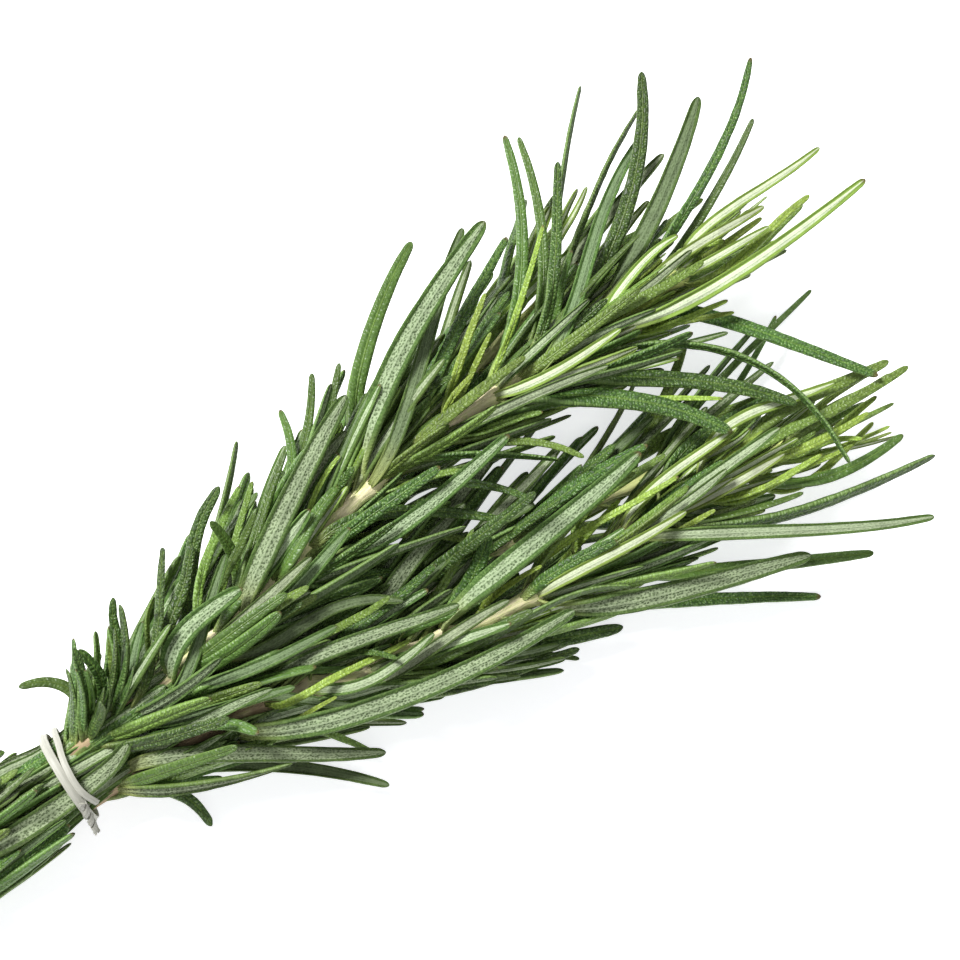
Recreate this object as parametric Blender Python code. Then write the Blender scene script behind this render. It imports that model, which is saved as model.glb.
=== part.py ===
"""A tied bunch of four rosemary sprigs, lying on a flat surface.

The bunch lies along +X from its cut ends to its tips, with +Y to its left and +Z up. Lengths in the
plan are millimetres from the middle of the tie, at the height of the surface. Every sprig is a stem
and its whorls: the needle leaves that grow from one joint of the stem, joined by a ridge round it.
The leaves are first drawn where the plan wants their tips, and then settle until none runs through
another, through a stem or through the surface. The part's origin is under the middle of its box.
"""

import math
from dataclasses import dataclass

import bmesh
import bpy
import numpy as np

MM = 0.001
GAP = 0.3

# Stems
STEM_SIDES = 8
STEM_STEP = 6.0
CUT_END_X = -30.0
STEM_PAST_LAST_JOINT = 1.6

# The ridge that joins the leaf bases of a whorl
COLLAR_SIDES = 6
COLLAR_FACE_TURN = math.tau / COLLAR_SIDES
COLLAR_TURNS = (0, 15, 30, 45)
COLLAR_WALL = 0.6
COLLAR_HEIGHT = 1.5

# Leaves
LEAF_STOPS = np.array([0.0, 0.15, 0.33, 0.51, 0.69, 0.86, 1.0])
LEAF_GIRTH = np.array([0.55, 0.62, 0.90, 1.00, 0.98, 0.82, 0.40])
LEAF_THICKNESS = 0.32
LEAF_BACK_WIDTH = 0.62
LEAVES_PER_WHORL = 3
FIRST_LEAN = math.radians(38)
TIED_LEAN = math.radians(22)
FIRST_BEND, SECOND_BEND = 0.27, 0.66
BOW_GAIN = 1.4
ROLL_DONE = 0.55

# Leaves with no place of their own, and those that lie along the top of a stem
SEED = 11
FREE_LEAN = (math.radians(24), math.radians(40))
FREE_LENGTH = 23.0
FREE_TIP_LENGTH = 12.0
FREE_LENGTH_RANGE = (0.85, 1.15)
FREE_WIDTH = 2.1
FREE_WIDTH_RANGE = (0.8, 1.1)
FREE_BOW = 1.0
LEAST_TIP_HEIGHT = 0.8
CREST_LENGTH = (14.0, 19.0)
CREST_RISE = 3.2
CREST_SWAY = 1.8
CREST_BOW = 0.3

# Settling
SETTLE_ROUNDS = 420
PAIRS_EVERY = 15
NEAR_LEAF, NEAR_ROD = 3.6, 5.6
ROD_STEP = 3.0
PUSH = 1.2
END_SHARE = 0.35
PULL_HOME = 0.04
PULL_FADE = 1.6
STIFFNESS = 0.25
LENGTH_ROUNDS = 3
LEAST_RISE = 0.32
TIE_REACH = 4.5
THIN_ROUNDS = 6
THIN_FROM = 0.12
THIN_RATE = 0.5
THIN_LEAST = 0.6
CLEAR_ENOUGH = 0.1

# Twist tie
TIE_MIDDLE = (0.0, 1.0, 5.4)
TIE_INSIDE = (5.1, 4.75)
TIE_BAND = 2.3
TIE_THICKNESS = 0.45
TIE_SIDES = 28
TIE_KNOB = ((-0.1, -0.7, 0.4, 0.7), (-0.3, -1.4, -0.4, 0.65), (-0.4, -1.9, -1.4, 0.5))
TIE_KNOB_PLACE = 0.5
TIE_KNOB_SLANT = 0.2
TIE_TAIL = ((0.8, -0.6, -0.3), (1.6, -1.2, -0.8))
TIE_TAIL_PLACE = 0.4

# How a leaf shows from above: its upper face, its felted underside, one edge, or as it grew
OVER, EDGE, UNDER, FREE = 0.0, 90.0, 180.0, None


@dataclass(frozen=True)
class Sprig:
    """One stem: its centre line, the x of each leaf joint, and its radius at the cut end and tip."""

    name: str
    route: tuple
    joints: tuple
    radii: tuple


SPRIGS = (
    Sprig(
        "sprig_a",
        (
            (-30, 2.0, 5.2), (-15, 2.4, 6.9), (0, 2.2, 7.9), (10, 2.3, 10.3), (25, 4.1, 12.0),
            (35, 6.1, 13.0), (44, 8.3, 13.4), (55, 9.1, 13.4), (66, 9.2, 13.0), (90, 9.4, 11.8),
        ),
        (-15, 4, 10, 15, 20, 25, 30, 35, 44, 50, 55, 61, 66, 71, 76, 81, 86),
        (1.35, 0.6),
    ),
    Sprig(
        "sprig_b",
        (
            (-30, -4.4, 1.9), (-14, -3.1, 3.6), (0, -2.2, 5.5), (8, -3.0, 6.9), (17, -3.4, 7.2),
            (32, -7.4, 7.8), (42, -9.6, 8.4), (53, -11.0, 8.6), (65, -10.9, 8.4), (87, -12.6, 7.6),
        ),
        (-14, 6, 17, 22, 27, 32, 37, 42, 53, 59, 65, 70, 75, 80, 85),
        (1.4, 0.6),
    ),
    Sprig(
        "sprig_c",
        ((-30, 6.0, 1.6), (-11, 4.8, 3.0), (0, 3.6, 3.9), (20, 6.0, 5.2), (44, 11.0, 6.4), (76, 17.6, 6.6)),
        (-11, 12, 20, 28, 36, 44, 52, 60, 67, 74),
        (1.25, 0.6),
    ),
    Sprig(
        "sprig_d",
        ((-30, 0.4, 1.5), (-9, 0.7, 2.6), (0, 0.3, 2.9), (20, -1.2, 3.6), (45, -2.8, 4.0), (77, -6.6, 4.0)),
        (-9, 20, 29, 38, 47, 55, 62, 69, 75),
        (1.2, 0.55),
    ),
)

# Leaves with a place of their own: (sprig, joint): (tip x, y, z, bow to the left, width, side that shows)
PLACED = {
    ("sprig_a", 1): (
        (6.3, 7.0, 8, 1.0, 1.8, OVER), (4.8, 7.6, 5, 1.5, 1.7, OVER), (5.5, 4.4, 9.5, 0.3, 1.7, OVER),
        (4.5, 7.6, 11, -1.5, 1.8, OVER),
    ),
    ("sprig_a", 2): (
        (1.2, 11.0, 11, -3.0, 2.0, OVER), (8.0, 10.3, 15, -1.5, 2.0, OVER), (10.2, 10.2, 8, 0.5, 1.9, OVER),
        (12.2, 10.6, 12, -0.8, 2.1, OVER), (18.8, -7.4, 14, 4.0, 2.6, OVER),
    ),
    ("sprig_a", 3): (
        (14.6, 13.9, 13, 0.8, 1.6, OVER), (15.6, 10.3, 9, 0.5, 1.6, OVER), (18.0, 10.8, 14, 0.5, 1.5, EDGE),
        (21.8, 16.2, 8, -2.0, 1.5, OVER), (32.0, 17.0, 13, 2.0, 2.6, OVER), (28.0, 9.0, 15, 0.3, 1.8, UNDER),
    ),
    ("sprig_a", 4): (
        (25.9, 12.5, 12, 0.5, 2.1, OVER), (27.6, 4.0, 16, 0.5, 2.7, UNDER), (33.0, -2.5, 12, 0.5, 1.8, UNDER),
    ),
    ("sprig_a", 5): (
        (34.0, 16.3, 12, 0.5, 1.5, OVER), (33.0, 17.5, 9, 1.0, 1.9, OVER), (40.6, -5.0, 12, 1.5, 2.4, UNDER),
    ),
    ("sprig_a", 6): (
        (27.3, 13.2, 17, -2.0, 2.1, OVER), (38.5, 16.5, 14, 0.3, 1.7, OVER), (38.8, 15.8, 10, 0.0, 1.7, OVER),
        (47.0, 17.2, 17, -0.5, 2.9, UNDER),
    ),
    ("sprig_a", 7): (
        (46.5, 24.0, 8, -1.5, 1.8, OVER), (41.8, 20.0, 9, -4.0, 1.9, OVER), (49.6, 21.7, 12, -0.3, 1.7, OVER),
        (40.5, 10.8, 16, 0.8, 2.4, OVER), (43.5, 0.5, 12, 1.5, 2.0, OVER), (42.0, -2.0, 10, 1.5, 2.0, OVER),
    ),
    ("sprig_a", 8): (
        (45.3, 14.0, 16, 0.5, 2.1, OVER), (42.0, 13.4, 17, 0.3, 1.3, OVER), (55.0, 18.2, 15, 0.3, 2.3, EDGE),
        (59.8, 4.0, 16, -0.5, 2.1, UNDER), (54.5, -2.5, 11, 1.5, 1.8, UNDER), (51.0, -3.0, 9, 1.5, 1.9, OVER),
    ),
    ("sprig_a", 9): (
        (71.0, 25.6, 17, 0.8, 3.0, UNDER), (64.8, 31.0, 8, 1.5, 2.8, OVER), (69.5, 28.0, 11, 0.5, 2.1, UNDER),
        (55.2, 21.6, 10, 1.0, 1.6, OVER), (54.5, 3.0, 14, 1.0, 1.4, OVER), (58.0, -2.5, 12, 2.0, 1.4, OVER),
    ),
    ("sprig_a", 10): (
        (73.0, 24.5, 10, 0.5, 1.8, UNDER), (65.3, -2.0, 13, 3.0, 1.6, OVER), (63.0, -0.5, 12, 0.5, 1.4, EDGE),
    ),
    ("sprig_a", 11): (
        (66.3, 18.8, 16, 0.2, 1.8, OVER), (64.5, 15.0, 15, 0.2, 1.5, OVER), (60.2, 11.9, 16, 0.0, 1.5, OVER),
        (64.2, 4.5, 15, 0.5, 1.5, OVER),
    ),
    ("sprig_a", 12): (
        (79.3, 34.2, 12, -3.0, 2.1, OVER), (76.0, 21.2, 17, -0.3, 1.4, OVER),
        (80.0, -9.0, 14, 2.8, 2.8, OVER),
        (82.0, -4.5, 13, 1.0, 1.5, OVER), (93.3, 28.0, 13, 0.5, 1.6, EDGE),
    ),
    ("sprig_a", 13): (
        (80.0, 32.4, 14, -2.5, 1.8, OVER), (88.6, 33.0, 15, 0.5, 1.7, EDGE),
        (81.5, 27.0, 16, -1.0, 1.7, OVER),
        (77.5, 16.8, 17, 0.0, 1.4, OVER), (92.5, 26.8, 11, 0.8, 2.3, UNDER),
        (88.5, -10.0, 12, 1.5, 2.4, OVER),
    ),
    ("sprig_a", 14): ((95.6, 31.0, 16, -2.5, 2.4, OVER), (88.5, -19.0, 15, 8.0, 1.4, EDGE)),
    ("sprig_a", 15): (
        (99.6, 25.3, 14, -0.5, 2.7, UNDER), (88.3, 12.2, 15, 0.0, 1.9, UNDER),
        (109.4, 6.8, 14, -0.8, 2.7, UNDER),
        (88.6, 4.0, 14, 0.3, 1.6, OVER), (88.8, 2.6, 12, 0.3, 1.6, OVER), (97.5, -12.5, 11, 1.5, 2.1, OVER),
    ),
    ("sprig_a", 16): (
        (106.8, 25.5, 15, -2.5, 1.5, OVER), (103.0, 19.6, 14, -1.0, 1.6, OVER),
        (102.5, 8.8, 12, 0.0, 2.3, OVER),
    ),
    ("sprig_a", 17): (
        (107.3, 12.7, 14, -0.5, 2.0, UNDER), (92.5, 10.8, 15, 0.0, 1.8, OVER),
        (98.0, 10.0, 11, 0.0, 1.8, OVER),
        (97.0, 7.0, 14, 0.0, 1.8, UNDER),
    ),
    ("sprig_b", 1): (
        (8.2, 0.8, 10.5, -1.6, 2.8, UNDER), (8.5, -8.0, 2.5, 0.6, 1.8, OVER), (6.5, -6.6, 5, 0.4, 1.7, OVER),
    ),
    ("sprig_b", 2): (
        (9.8, -11.8, 3.5, 1.5, 1.8, OVER), (13.8, -8.2, 4, 0.0, 1.8, OVER), (29.8, -16.0, 6, 0.5, 2.2, UNDER),
        (28.4, -18.8, 3, 1.8, 2.0, OVER),
    ),
    ("sprig_b", 3): (
        (56.0, -14.0, 11, -1.0, 2.7, UNDER), (28.8, -7.5, 12, 0.0, 1.3, OVER),
        (36.0, -12.8, 7, 0.3, 1.7, UNDER),
        (39.3, -14.3, 5, 0.5, 2.2, UNDER), (24.8, -9.8, 3.5, 0.0, 1.6, OVER),
    ),
    ("sprig_b", 4): (
        (38.7, -7.2, 12, 0.3, 1.3, OVER), (45.2, -9.6, 11, 0.5, 2.2, UNDER), (29.0, -14.5, 2, 0.3, 1.5, OVER),
    ),
    ("sprig_b", 5): ((45.2, -3.0, 13, -0.5, 1.7, UNDER),),
    ("sprig_b", 6): ((54.2, -18.0, 4, -0.3, 1.8, OVER), (52.2, 0.3, 12, -0.5, 2.5, UNDER)),
    ("sprig_b", 7): ((53.8, -18.6, 2, 1.5, 1.5, OVER), (51.5, -3.2, 12, -0.3, 1.8, UNDER)),
    ("sprig_b", 8): (
        (52.0, -3.0, 13, -0.5, 2.5, OVER), (70.8, -5.0, 13, -0.5, 2.9, UNDER),
        (55.0, -9.2, 12, 0.2, 1.5, OVER),
        (61.6, -16.6, 11, 3.0, 1.8, EDGE), (61.5, -17.0, 2, 1.0, 1.5, OVER),
    ),
    ("sprig_b", 9): (
        (80.9, -24.0, 7, 0.0, 2.8, UNDER), (72.6, -9.4, 13, 0.0, 1.7, OVER),
        (69.5, -6.2, 11, 0.3, 1.7, UNDER),
        (66.5, -7.2, 12, 0.3, 1.8, OVER), (80.2, -27.7, 1.5, 0.5, 2.0, OVER),
    ),
    ("sprig_b", 10): ((74.0, -7.8, 12, 0.2, 2.0, OVER), (87.4, -27.2, 4, -0.5, 2.5, OVER)),
    ("sprig_b", 11): (
        (80.2, -9.6, 11, 0.2, 2.0, OVER), (74.0, -15.2, 12, 0.2, 1.5, OVER), (79.2, -18.0, 8, 0.5, 1.8, OVER),
        (94.5, -28.2, 8, -1.0, 2.3, UNDER),
    ),
    ("sprig_b", 12): ((98.4, -22.7, 9, -1.5, 2.2, EDGE), (88.0, -8.0, 8, 0.5, 2.0, OVER)),
    ("sprig_b", 13): (
        (94.6, -10.2, 11, -0.5, 2.3, UNDER), (87.6, -15.8, 12, 0.2, 1.9, OVER),
        (82.2, -14.8, 12, 0.2, 1.5, OVER),
    ),
    ("sprig_b", 14): (
        (100.6, -12.4, 10, -0.5, 2.7, UNDER), (96.0, -15.8, 10, -0.5, 1.8, OVER),
        (97.6, -18.6, 8, -0.8, 2.1, OVER), (91.5, -16.8, 11, 0.0, 1.6, OVER),
    ),
    ("sprig_b", 15): (
        (97.0, -13.5, 9, 0.0, 1.9, OVER), (93.0, -14.5, 11, 0.0, 1.5, OVER),
        (95.0, -11.5, 7, 0.0, 1.8, UNDER),
    ),
    ("sprig_c", 1): ((-4.5, 7.6, 4, 0.8, 1.7, OVER), (7.0, 8.2, 3, 0.8, 1.7, OVER)),
    ("sprig_d", 1): ((9.0, -1.2, 1.2, 0.0, 1.7, OVER),),
    ("sprig_c", 8): ((80.5, 14.5, 8, 0.0, 2.2, UNDER), (85.0, 19.2, 8, 0.3, 2.3, UNDER)),
    ("sprig_c", 9): ((83.5, 16.8, 9, 0.0, 2.2, UNDER),),
    ("sprig_c", 10): ((94.3, 16.3, 9, 0.5, 1.8, OVER), (89.3, 19.8, 8, 0.3, 1.8, OVER)),
    ("sprig_d", 8): ((88.0, -6.0, 5, 0.5, 2.8, OVER), (83.5, 4.0, 6, -0.5, 2.2, UNDER)),
    ("sprig_d", 9): ((99.0, 1.3, 6, 0.3, 1.3, OVER), (94.5, 1.5, 4, -1.0, 1.2, OVER)),
}

# Joints with bare stem showing above and beyond them, and joints of stems that others cover
BARE_ABOVE = {("sprig_a", 2), ("sprig_a", 8), ("sprig_a", 11), ("sprig_b", 2), ("sprig_b", 8)}
CRESTED = ("sprig_a", "sprig_b")

STEM_COLOUR = (0.36, 0.30, 0.14, 1.0)
LEAF_COLOUR = (0.08, 0.16, 0.05, 1.0)
TIE_COLOUR = (0.80, 0.78, 0.75, 1.0)


def unit(v):
    """The vectors in v, each at length 1."""
    return v / np.maximum(np.linalg.norm(v, axis=-1, keepdims=True), 1e-9)


def across(v, d):
    """The part of v square to the unit direction d, at length 1."""
    return unit(v - np.sum(v * d, axis=-1, keepdims=True) * d)


def stem_point(sprig, x):
    """The middle of the stem at x, on a smooth line through its route."""
    route = np.array(sprig.route, float)
    xs = route[:, 0]
    slopes = np.gradient(route, xs, axis=0)
    i = int(np.clip(np.searchsorted(xs, x) - 1, 0, len(xs) - 2))
    run = xs[i + 1] - xs[i]
    u = (x - xs[i]) / run
    rise = u * u * (3 - 2 * u)
    leave, arrive = u * (1 - u) ** 2, u * u * (u - 1)
    return (1 - rise) * route[i] + rise * route[i + 1] + run * (leave * slopes[i] + arrive * slopes[i + 1])


def stem_direction(sprig, x):
    """The unit direction of the stem at x, towards its tip."""
    return unit(stem_point(sprig, x + 0.5) - stem_point(sprig, x - 0.5))


def stem_radius(sprig, x):
    """The stem's radius at x: it thins evenly from the cut end to the last joint."""
    along = (x - CUT_END_X) / (sprig.joints[-1] - CUT_END_X)
    return sprig.radii[0] + (sprig.radii[1] - sprig.radii[0]) * along


def collar_apothem(sprig, x):
    """The distance from the stem's middle to the flat outer faces of the ridge at x."""
    return stem_radius(sprig, x) + GAP + COLLAR_WALL


def joint_frame(sprig, x):
    """Middle, direction, left and up of the stem at a joint."""
    along = stem_direction(sprig, x)
    left = unit(np.cross((0, 0, 1), along))
    return stem_point(sprig, x), along, left, np.cross(along, left)


class Leaf:
    """One leaf: the collar face it grows from, its centre line, its size and how it lies.

    Its upper face grows towards the stem and its tip: that way is inward.
    """

    def __init__(self, sprig, joint, face, spin, tip, bow, width, side, placed):
        x = sprig.joints[joint - 1]
        middle, along, left, up = joint_frame(sprig, x)
        azimuth = spin + face * COLLAR_FACE_TURN
        radial = up * math.cos(azimuth) + left * math.sin(azimuth)
        self.sprig, self.joint, self.face = sprig, joint, face
        self.radial, self.inward = radial, unit(along - radial)
        self.width, self.side, self.placed = width, side, placed
        start = middle + radial * collar_apothem(sprig, x)
        chord = np.array(tip, float) - start
        length = np.linalg.norm(chord)
        lean = TIED_LEAN if x < 0 else FIRST_LEAN
        first = along * math.cos(lean) + radial * math.sin(lean)
        aside = unit(np.cross((0, 0, 1), chord)) * bow * BOW_GAIN
        bend_1 = start + first * FIRST_BEND * length + aside / 2
        bend_2 = start + chord * SECOND_BEND + aside
        u = LEAF_STOPS[:, None]
        self.line = (
            (1 - u) ** 3 * start + 3 * u * (1 - u) ** 2 * bend_1 + 3 * u * u * (1 - u) * bend_2
            + u**3 * (start + chord)
        )


def wanted_azimuth(sprig, joint, tip, side):
    """The side of the stem that a leaf would grow from to reach its tip, 0 being up."""
    middle, _, left, up = joint_frame(sprig, sprig.joints[joint - 1])
    reach = np.array(tip, float) - middle
    sideways = float(reach @ left)
    upwards = 0.7 * abs(sideways) + 1.0 if side == UNDER else -0.25 * abs(sideways)
    return math.atan2(sideways, upwards)


def turn_between(a, b):
    """The unsigned angle between two azimuths."""
    return abs((a - b + math.pi) % math.tau - math.pi)


def deal_faces(azimuths):
    """A turn of the collar, and the face of it that each leaf takes, closest to what they want."""
    best = None
    for spin in np.radians(COLLAR_TURNS):
        free = list(range(COLLAR_SIDES))
        faces, miss = [], 0.0
        for azimuth in azimuths:
            face = min(free, key=lambda f: turn_between(azimuth, spin + f * COLLAR_FACE_TURN))
            miss += turn_between(azimuth, spin + face * COLLAR_FACE_TURN)
            free.remove(face)
            faces.append(face)
        if best is None or miss < best[0]:
            best = (miss, spin, faces, free)
    return best[1:]


def free_tip(sprig, joint, azimuth, rng):
    """Where an unplaced leaf ends: out and forward from its joint, laid on the surface if it is low."""
    x = sprig.joints[joint - 1]
    middle, along, left, up = joint_frame(sprig, x)
    near_tip = max(0.0, joint / len(sprig.joints)) ** 3
    length = (FREE_LENGTH + (FREE_TIP_LENGTH - FREE_LENGTH) * near_tip) * rng.uniform(*FREE_LENGTH_RANGE)
    lean = rng.uniform(*FREE_LEAN)
    radial = up * math.cos(azimuth) + left * math.sin(azimuth)
    tip = middle + length * (along * math.cos(lean) + radial * math.sin(lean))
    tip[2] = max(tip[2], LEAST_TIP_HEIGHT)
    return tip


def crest_row(sprig, joint, rng):
    """A leaf that lies forward along the top of the stem from a joint."""
    x = sprig.joints[joint - 1]
    middle, along, left, up = joint_frame(sprig, x)
    sway = rng.uniform(-CREST_SWAY, CREST_SWAY)
    tip = middle + along * rng.uniform(*CREST_LENGTH) + up * CREST_RISE + left * sway
    return (*tip, rng.uniform(-CREST_BOW, CREST_BOW), FREE_WIDTH, UNDER)


def grow_leaves():
    """Every leaf of the bunch where the plan wants it, and the turn of each whorl's collar."""
    rng = np.random.default_rng(SEED)
    leaves, spins = [], {}
    for sprig in SPRIGS:
        for joint in range(1, len(sprig.joints) + 1):
            plan = PLACED.get((sprig.name, joint), ())
            crested = sprig.name in CRESTED and (sprig.name, joint) not in BARE_ABOVE
            if crested and sprig.joints[joint - 1] > 0 and len(plan) < COLLAR_SIDES:
                plan += (crest_row(sprig, joint, rng),)
            wanted = [wanted_azimuth(sprig, joint, row[:3], row[5]) for row in plan]
            if not wanted:
                wanted = [math.pi * (joint % 2) / 2]
                plan = (None,)
            spin, faces, spare = deal_faces(wanted)
            spins[sprig.name, joint] = spin
            rows = list(zip(plan, faces))
            spare.sort(
                key=lambda f: -min(turn_between(f * COLLAR_FACE_TURN, g * COLLAR_FACE_TURN) for g in faces)
            )
            if sprig.joints[joint - 1] > 0:
                rows += [(None, face) for face in spare[: max(0, LEAVES_PER_WHORL - len(rows))]]
            for row, face in rows:
                if row is None:
                    tip = free_tip(sprig, joint, spin + face * COLLAR_FACE_TURN, rng)
                    bow = rng.uniform(-FREE_BOW, FREE_BOW)
                    row = (*tip, bow, FREE_WIDTH * rng.uniform(*FREE_WIDTH_RANGE), FREE)
                    leaves.append(Leaf(sprig, joint, face, spin, row[:3], *row[3:], placed=False))
                else:
                    leaves.append(Leaf(sprig, joint, face, spin, row[:3], *row[3:], placed=True))
    return leaves, spins


def leaf_frames(lines, leaves):
    """Direction, width direction and upper-face normal at each stop of each leaf."""
    ahead = np.empty_like(lines)
    ahead[:, 1:-1] = lines[:, 2:] - lines[:, :-2]
    ahead[:, 0] = lines[:, 1] - lines[:, 0]
    ahead[:, -1] = lines[:, -1] - lines[:, -2]
    ahead = unit(ahead)
    inward = np.array([leaf.inward for leaf in leaves])[:, None, :]
    grown = across(np.broadcast_to(inward, ahead.shape), ahead)
    up = across(np.broadcast_to((0.0, 0.0, 1.0), ahead.shape), ahead)
    left = np.cross(up, ahead)
    natural = np.arctan2(np.sum(grown * left, -1), np.sum(grown * up, -1))
    roll = natural.copy()
    ease = np.clip(LEAF_STOPS / ROLL_DONE, 0, 1)
    ease = ease * ease * (3 - 2 * ease)
    for i, leaf in enumerate(leaves):
        if leaf.side is FREE:
            roll[i] = natural[i, 1]
            continue
        goal = math.radians(leaf.side)
        if leaf.side == EDGE and natural[i, 2] < 0:
            goal = -goal
        change = (goal - natural[i, 1] + math.pi) % math.tau - math.pi
        roll[i] = natural[i, 1] + change * ease
    normal = up * np.cos(roll)[..., None] + left * np.sin(roll)[..., None]
    return ahead, np.cross(normal, ahead), normal


def closest(p1, q1, p2, q2):
    """How far along each of two runs of segments their nearest points are, from 0 to 1."""
    d1, d2, r = q1 - p1, q2 - p2, p1 - p2
    a, e = np.sum(d1 * d1, -1), np.sum(d2 * d2, -1)
    b, c, f = np.sum(d1 * d2, -1), np.sum(d1 * r, -1), np.sum(d2 * r, -1)
    s = np.clip((b * f - c * e) / np.maximum(a * e - b * b, 1e-9), 0, 1)
    t = np.clip((b * s + f) / e, 0, 1)
    s = np.clip((b * t - c) / a, 0, 1)
    return s, t


class Settler:
    """Moves the leaves apart until they clear each other, the stems, the surface and the tie."""

    def __init__(self, leaves):
        self.leaves = leaves
        self.lines = np.array([leaf.line for leaf in leaves])
        self.home = self.lines.copy()
        width = np.array([leaf.width for leaf in leaves])
        self.half_width = 0.5 * width[:, None] * LEAF_GIRTH
        self.half_thick = 0.5 * LEAF_THICKNESS * width[:, None] * np.ones_like(LEAF_GIRTH)
        self.spans = np.linalg.norm(np.diff(self.lines, axis=1), axis=2)
        self.radial = np.array([leaf.radial for leaf in leaves])
        self.owner = np.array([[SPRIGS.index(leaf.sprig), leaf.joint] for leaf in leaves])
        self.rods = self.find_rods()

    def find_rods(self):
        """Stems and collars as round rods: ends, radius, and the sprig and joint they belong to."""
        starts, ends, radii, owners = [], [], [], []
        for number, sprig in enumerate(SPRIGS):
            xs = np.arange(CUT_END_X, sprig.joints[-1] + STEM_PAST_LAST_JOINT, ROD_STEP)
            for x, following in zip(xs, xs[1:]):
                starts.append(stem_point(sprig, x))
                ends.append(stem_point(sprig, following))
                radii.append(stem_radius(sprig, x))
                owners.append((number, -1))
            for joint, x in enumerate(sprig.joints, 1):
                middle, along = stem_point(sprig, x), stem_direction(sprig, x)
                starts.append(middle - along * COLLAR_HEIGHT / 2)
                ends.append(middle + along * COLLAR_HEIGHT / 2)
                radii.append(collar_apothem(sprig, x) / math.cos(math.pi / COLLAR_SIDES))
                owners.append((number, joint))
        return np.array(starts), np.array(ends), np.array(radii), np.array(owners)

    def find_pairs(self):
        """The leaf pieces near each other, and the leaf pieces near each rod."""
        pieces = self.lines.shape[1] - 1
        a, b = self.lines[:, :-1].reshape(-1, 3), self.lines[:, 1:].reshape(-1, 3)
        middle, half = (a + b) / 2, np.linalg.norm(b - a, axis=1) / 2
        leaf_of = np.repeat(np.arange(len(self.lines)), pieces)
        piece_of = np.tile(np.arange(pieces), len(self.lines))
        apart = np.linalg.norm(middle[:, None] - middle[None], axis=2) - half[:, None] - half[None]
        i, j = np.nonzero(np.triu(apart < NEAR_LEAF, 1))
        same_whorl = np.all(self.owner[leaf_of[i]] == self.owner[leaf_of[j]], axis=1)
        both_low = (piece_of[i] + piece_of[j]) < 2
        keep = (leaf_of[i] != leaf_of[j]) & ~(same_whorl & both_low)
        self.pairs = i[keep], j[keep]
        starts, ends, _, owners = self.rods
        rod_middle, rod_half = (starts + ends) / 2, np.linalg.norm(ends - starts, axis=1) / 2
        apart = np.linalg.norm(middle[:, None] - rod_middle[None], axis=2) - half[:, None] - rod_half[None]
        i, j = np.nonzero(apart < NEAR_ROD)
        own_stem = (self.owner[leaf_of[i], 0] == owners[j, 0]) & (owners[j, 1] == -1) & (piece_of[i] == 0)
        own_collar = np.all(self.owner[leaf_of[i]] == owners[j], axis=1) & (piece_of[i] <= 1)
        keep = ~(own_stem | own_collar)
        self.rod_pairs = i[keep], j[keep]

    def reach_towards(self, piece, share, direction, widths, normals):
        """Half the size of leaf pieces measured along a direction."""
        pieces = self.lines.shape[1] - 1
        leaf, first = piece // pieces, piece % pieces
        near = np.where(share < 0.5, first, first + 1)
        half_width = np.maximum(self.half_width[leaf, first], self.half_width[leaf, first + 1])
        half_thick = self.half_thick[leaf, near]
        along_width = np.abs(np.sum(widths[leaf, near] * direction, -1))
        along_normal = np.abs(np.sum(normals[leaf, near] * direction, -1))
        return half_width * along_width + half_thick * along_normal

    def overlaps(self):
        """Each near pair: its pieces, shares along them, direction apart and missing distance."""
        _, widths, normals = leaf_frames(self.lines, self.leaves)
        a, b = self.lines[:, :-1].reshape(-1, 3), self.lines[:, 1:].reshape(-1, 3)
        i, j = self.pairs
        s, t = closest(a[i], b[i], a[j], b[j])
        between = (a[i] + s[:, None] * (b[i] - a[i])) - (a[j] + t[:, None] * (b[j] - a[j]))
        distance = np.linalg.norm(between, axis=1)
        direction = unit(between)
        need = (
            self.reach_towards(i, s, direction, widths, normals)
            + self.reach_towards(j, t, direction, widths, normals) + GAP
        )
        leaf_pairs = (i, j, s, t, direction, need - distance)
        starts, ends, radii, _ = self.rods
        i, j = self.rod_pairs
        s, t = closest(a[i], b[i], starts[j], ends[j])
        between = (a[i] + s[:, None] * (b[i] - a[i])) - (starts[j] + t[:, None] * (ends[j] - starts[j]))
        distance = np.linalg.norm(between, axis=1)
        direction = unit(between)
        need = self.reach_towards(i, s, direction, widths, normals) + radii[j] + GAP
        return leaf_pairs, (i, j, s, t, direction, need - distance), widths, normals

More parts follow.
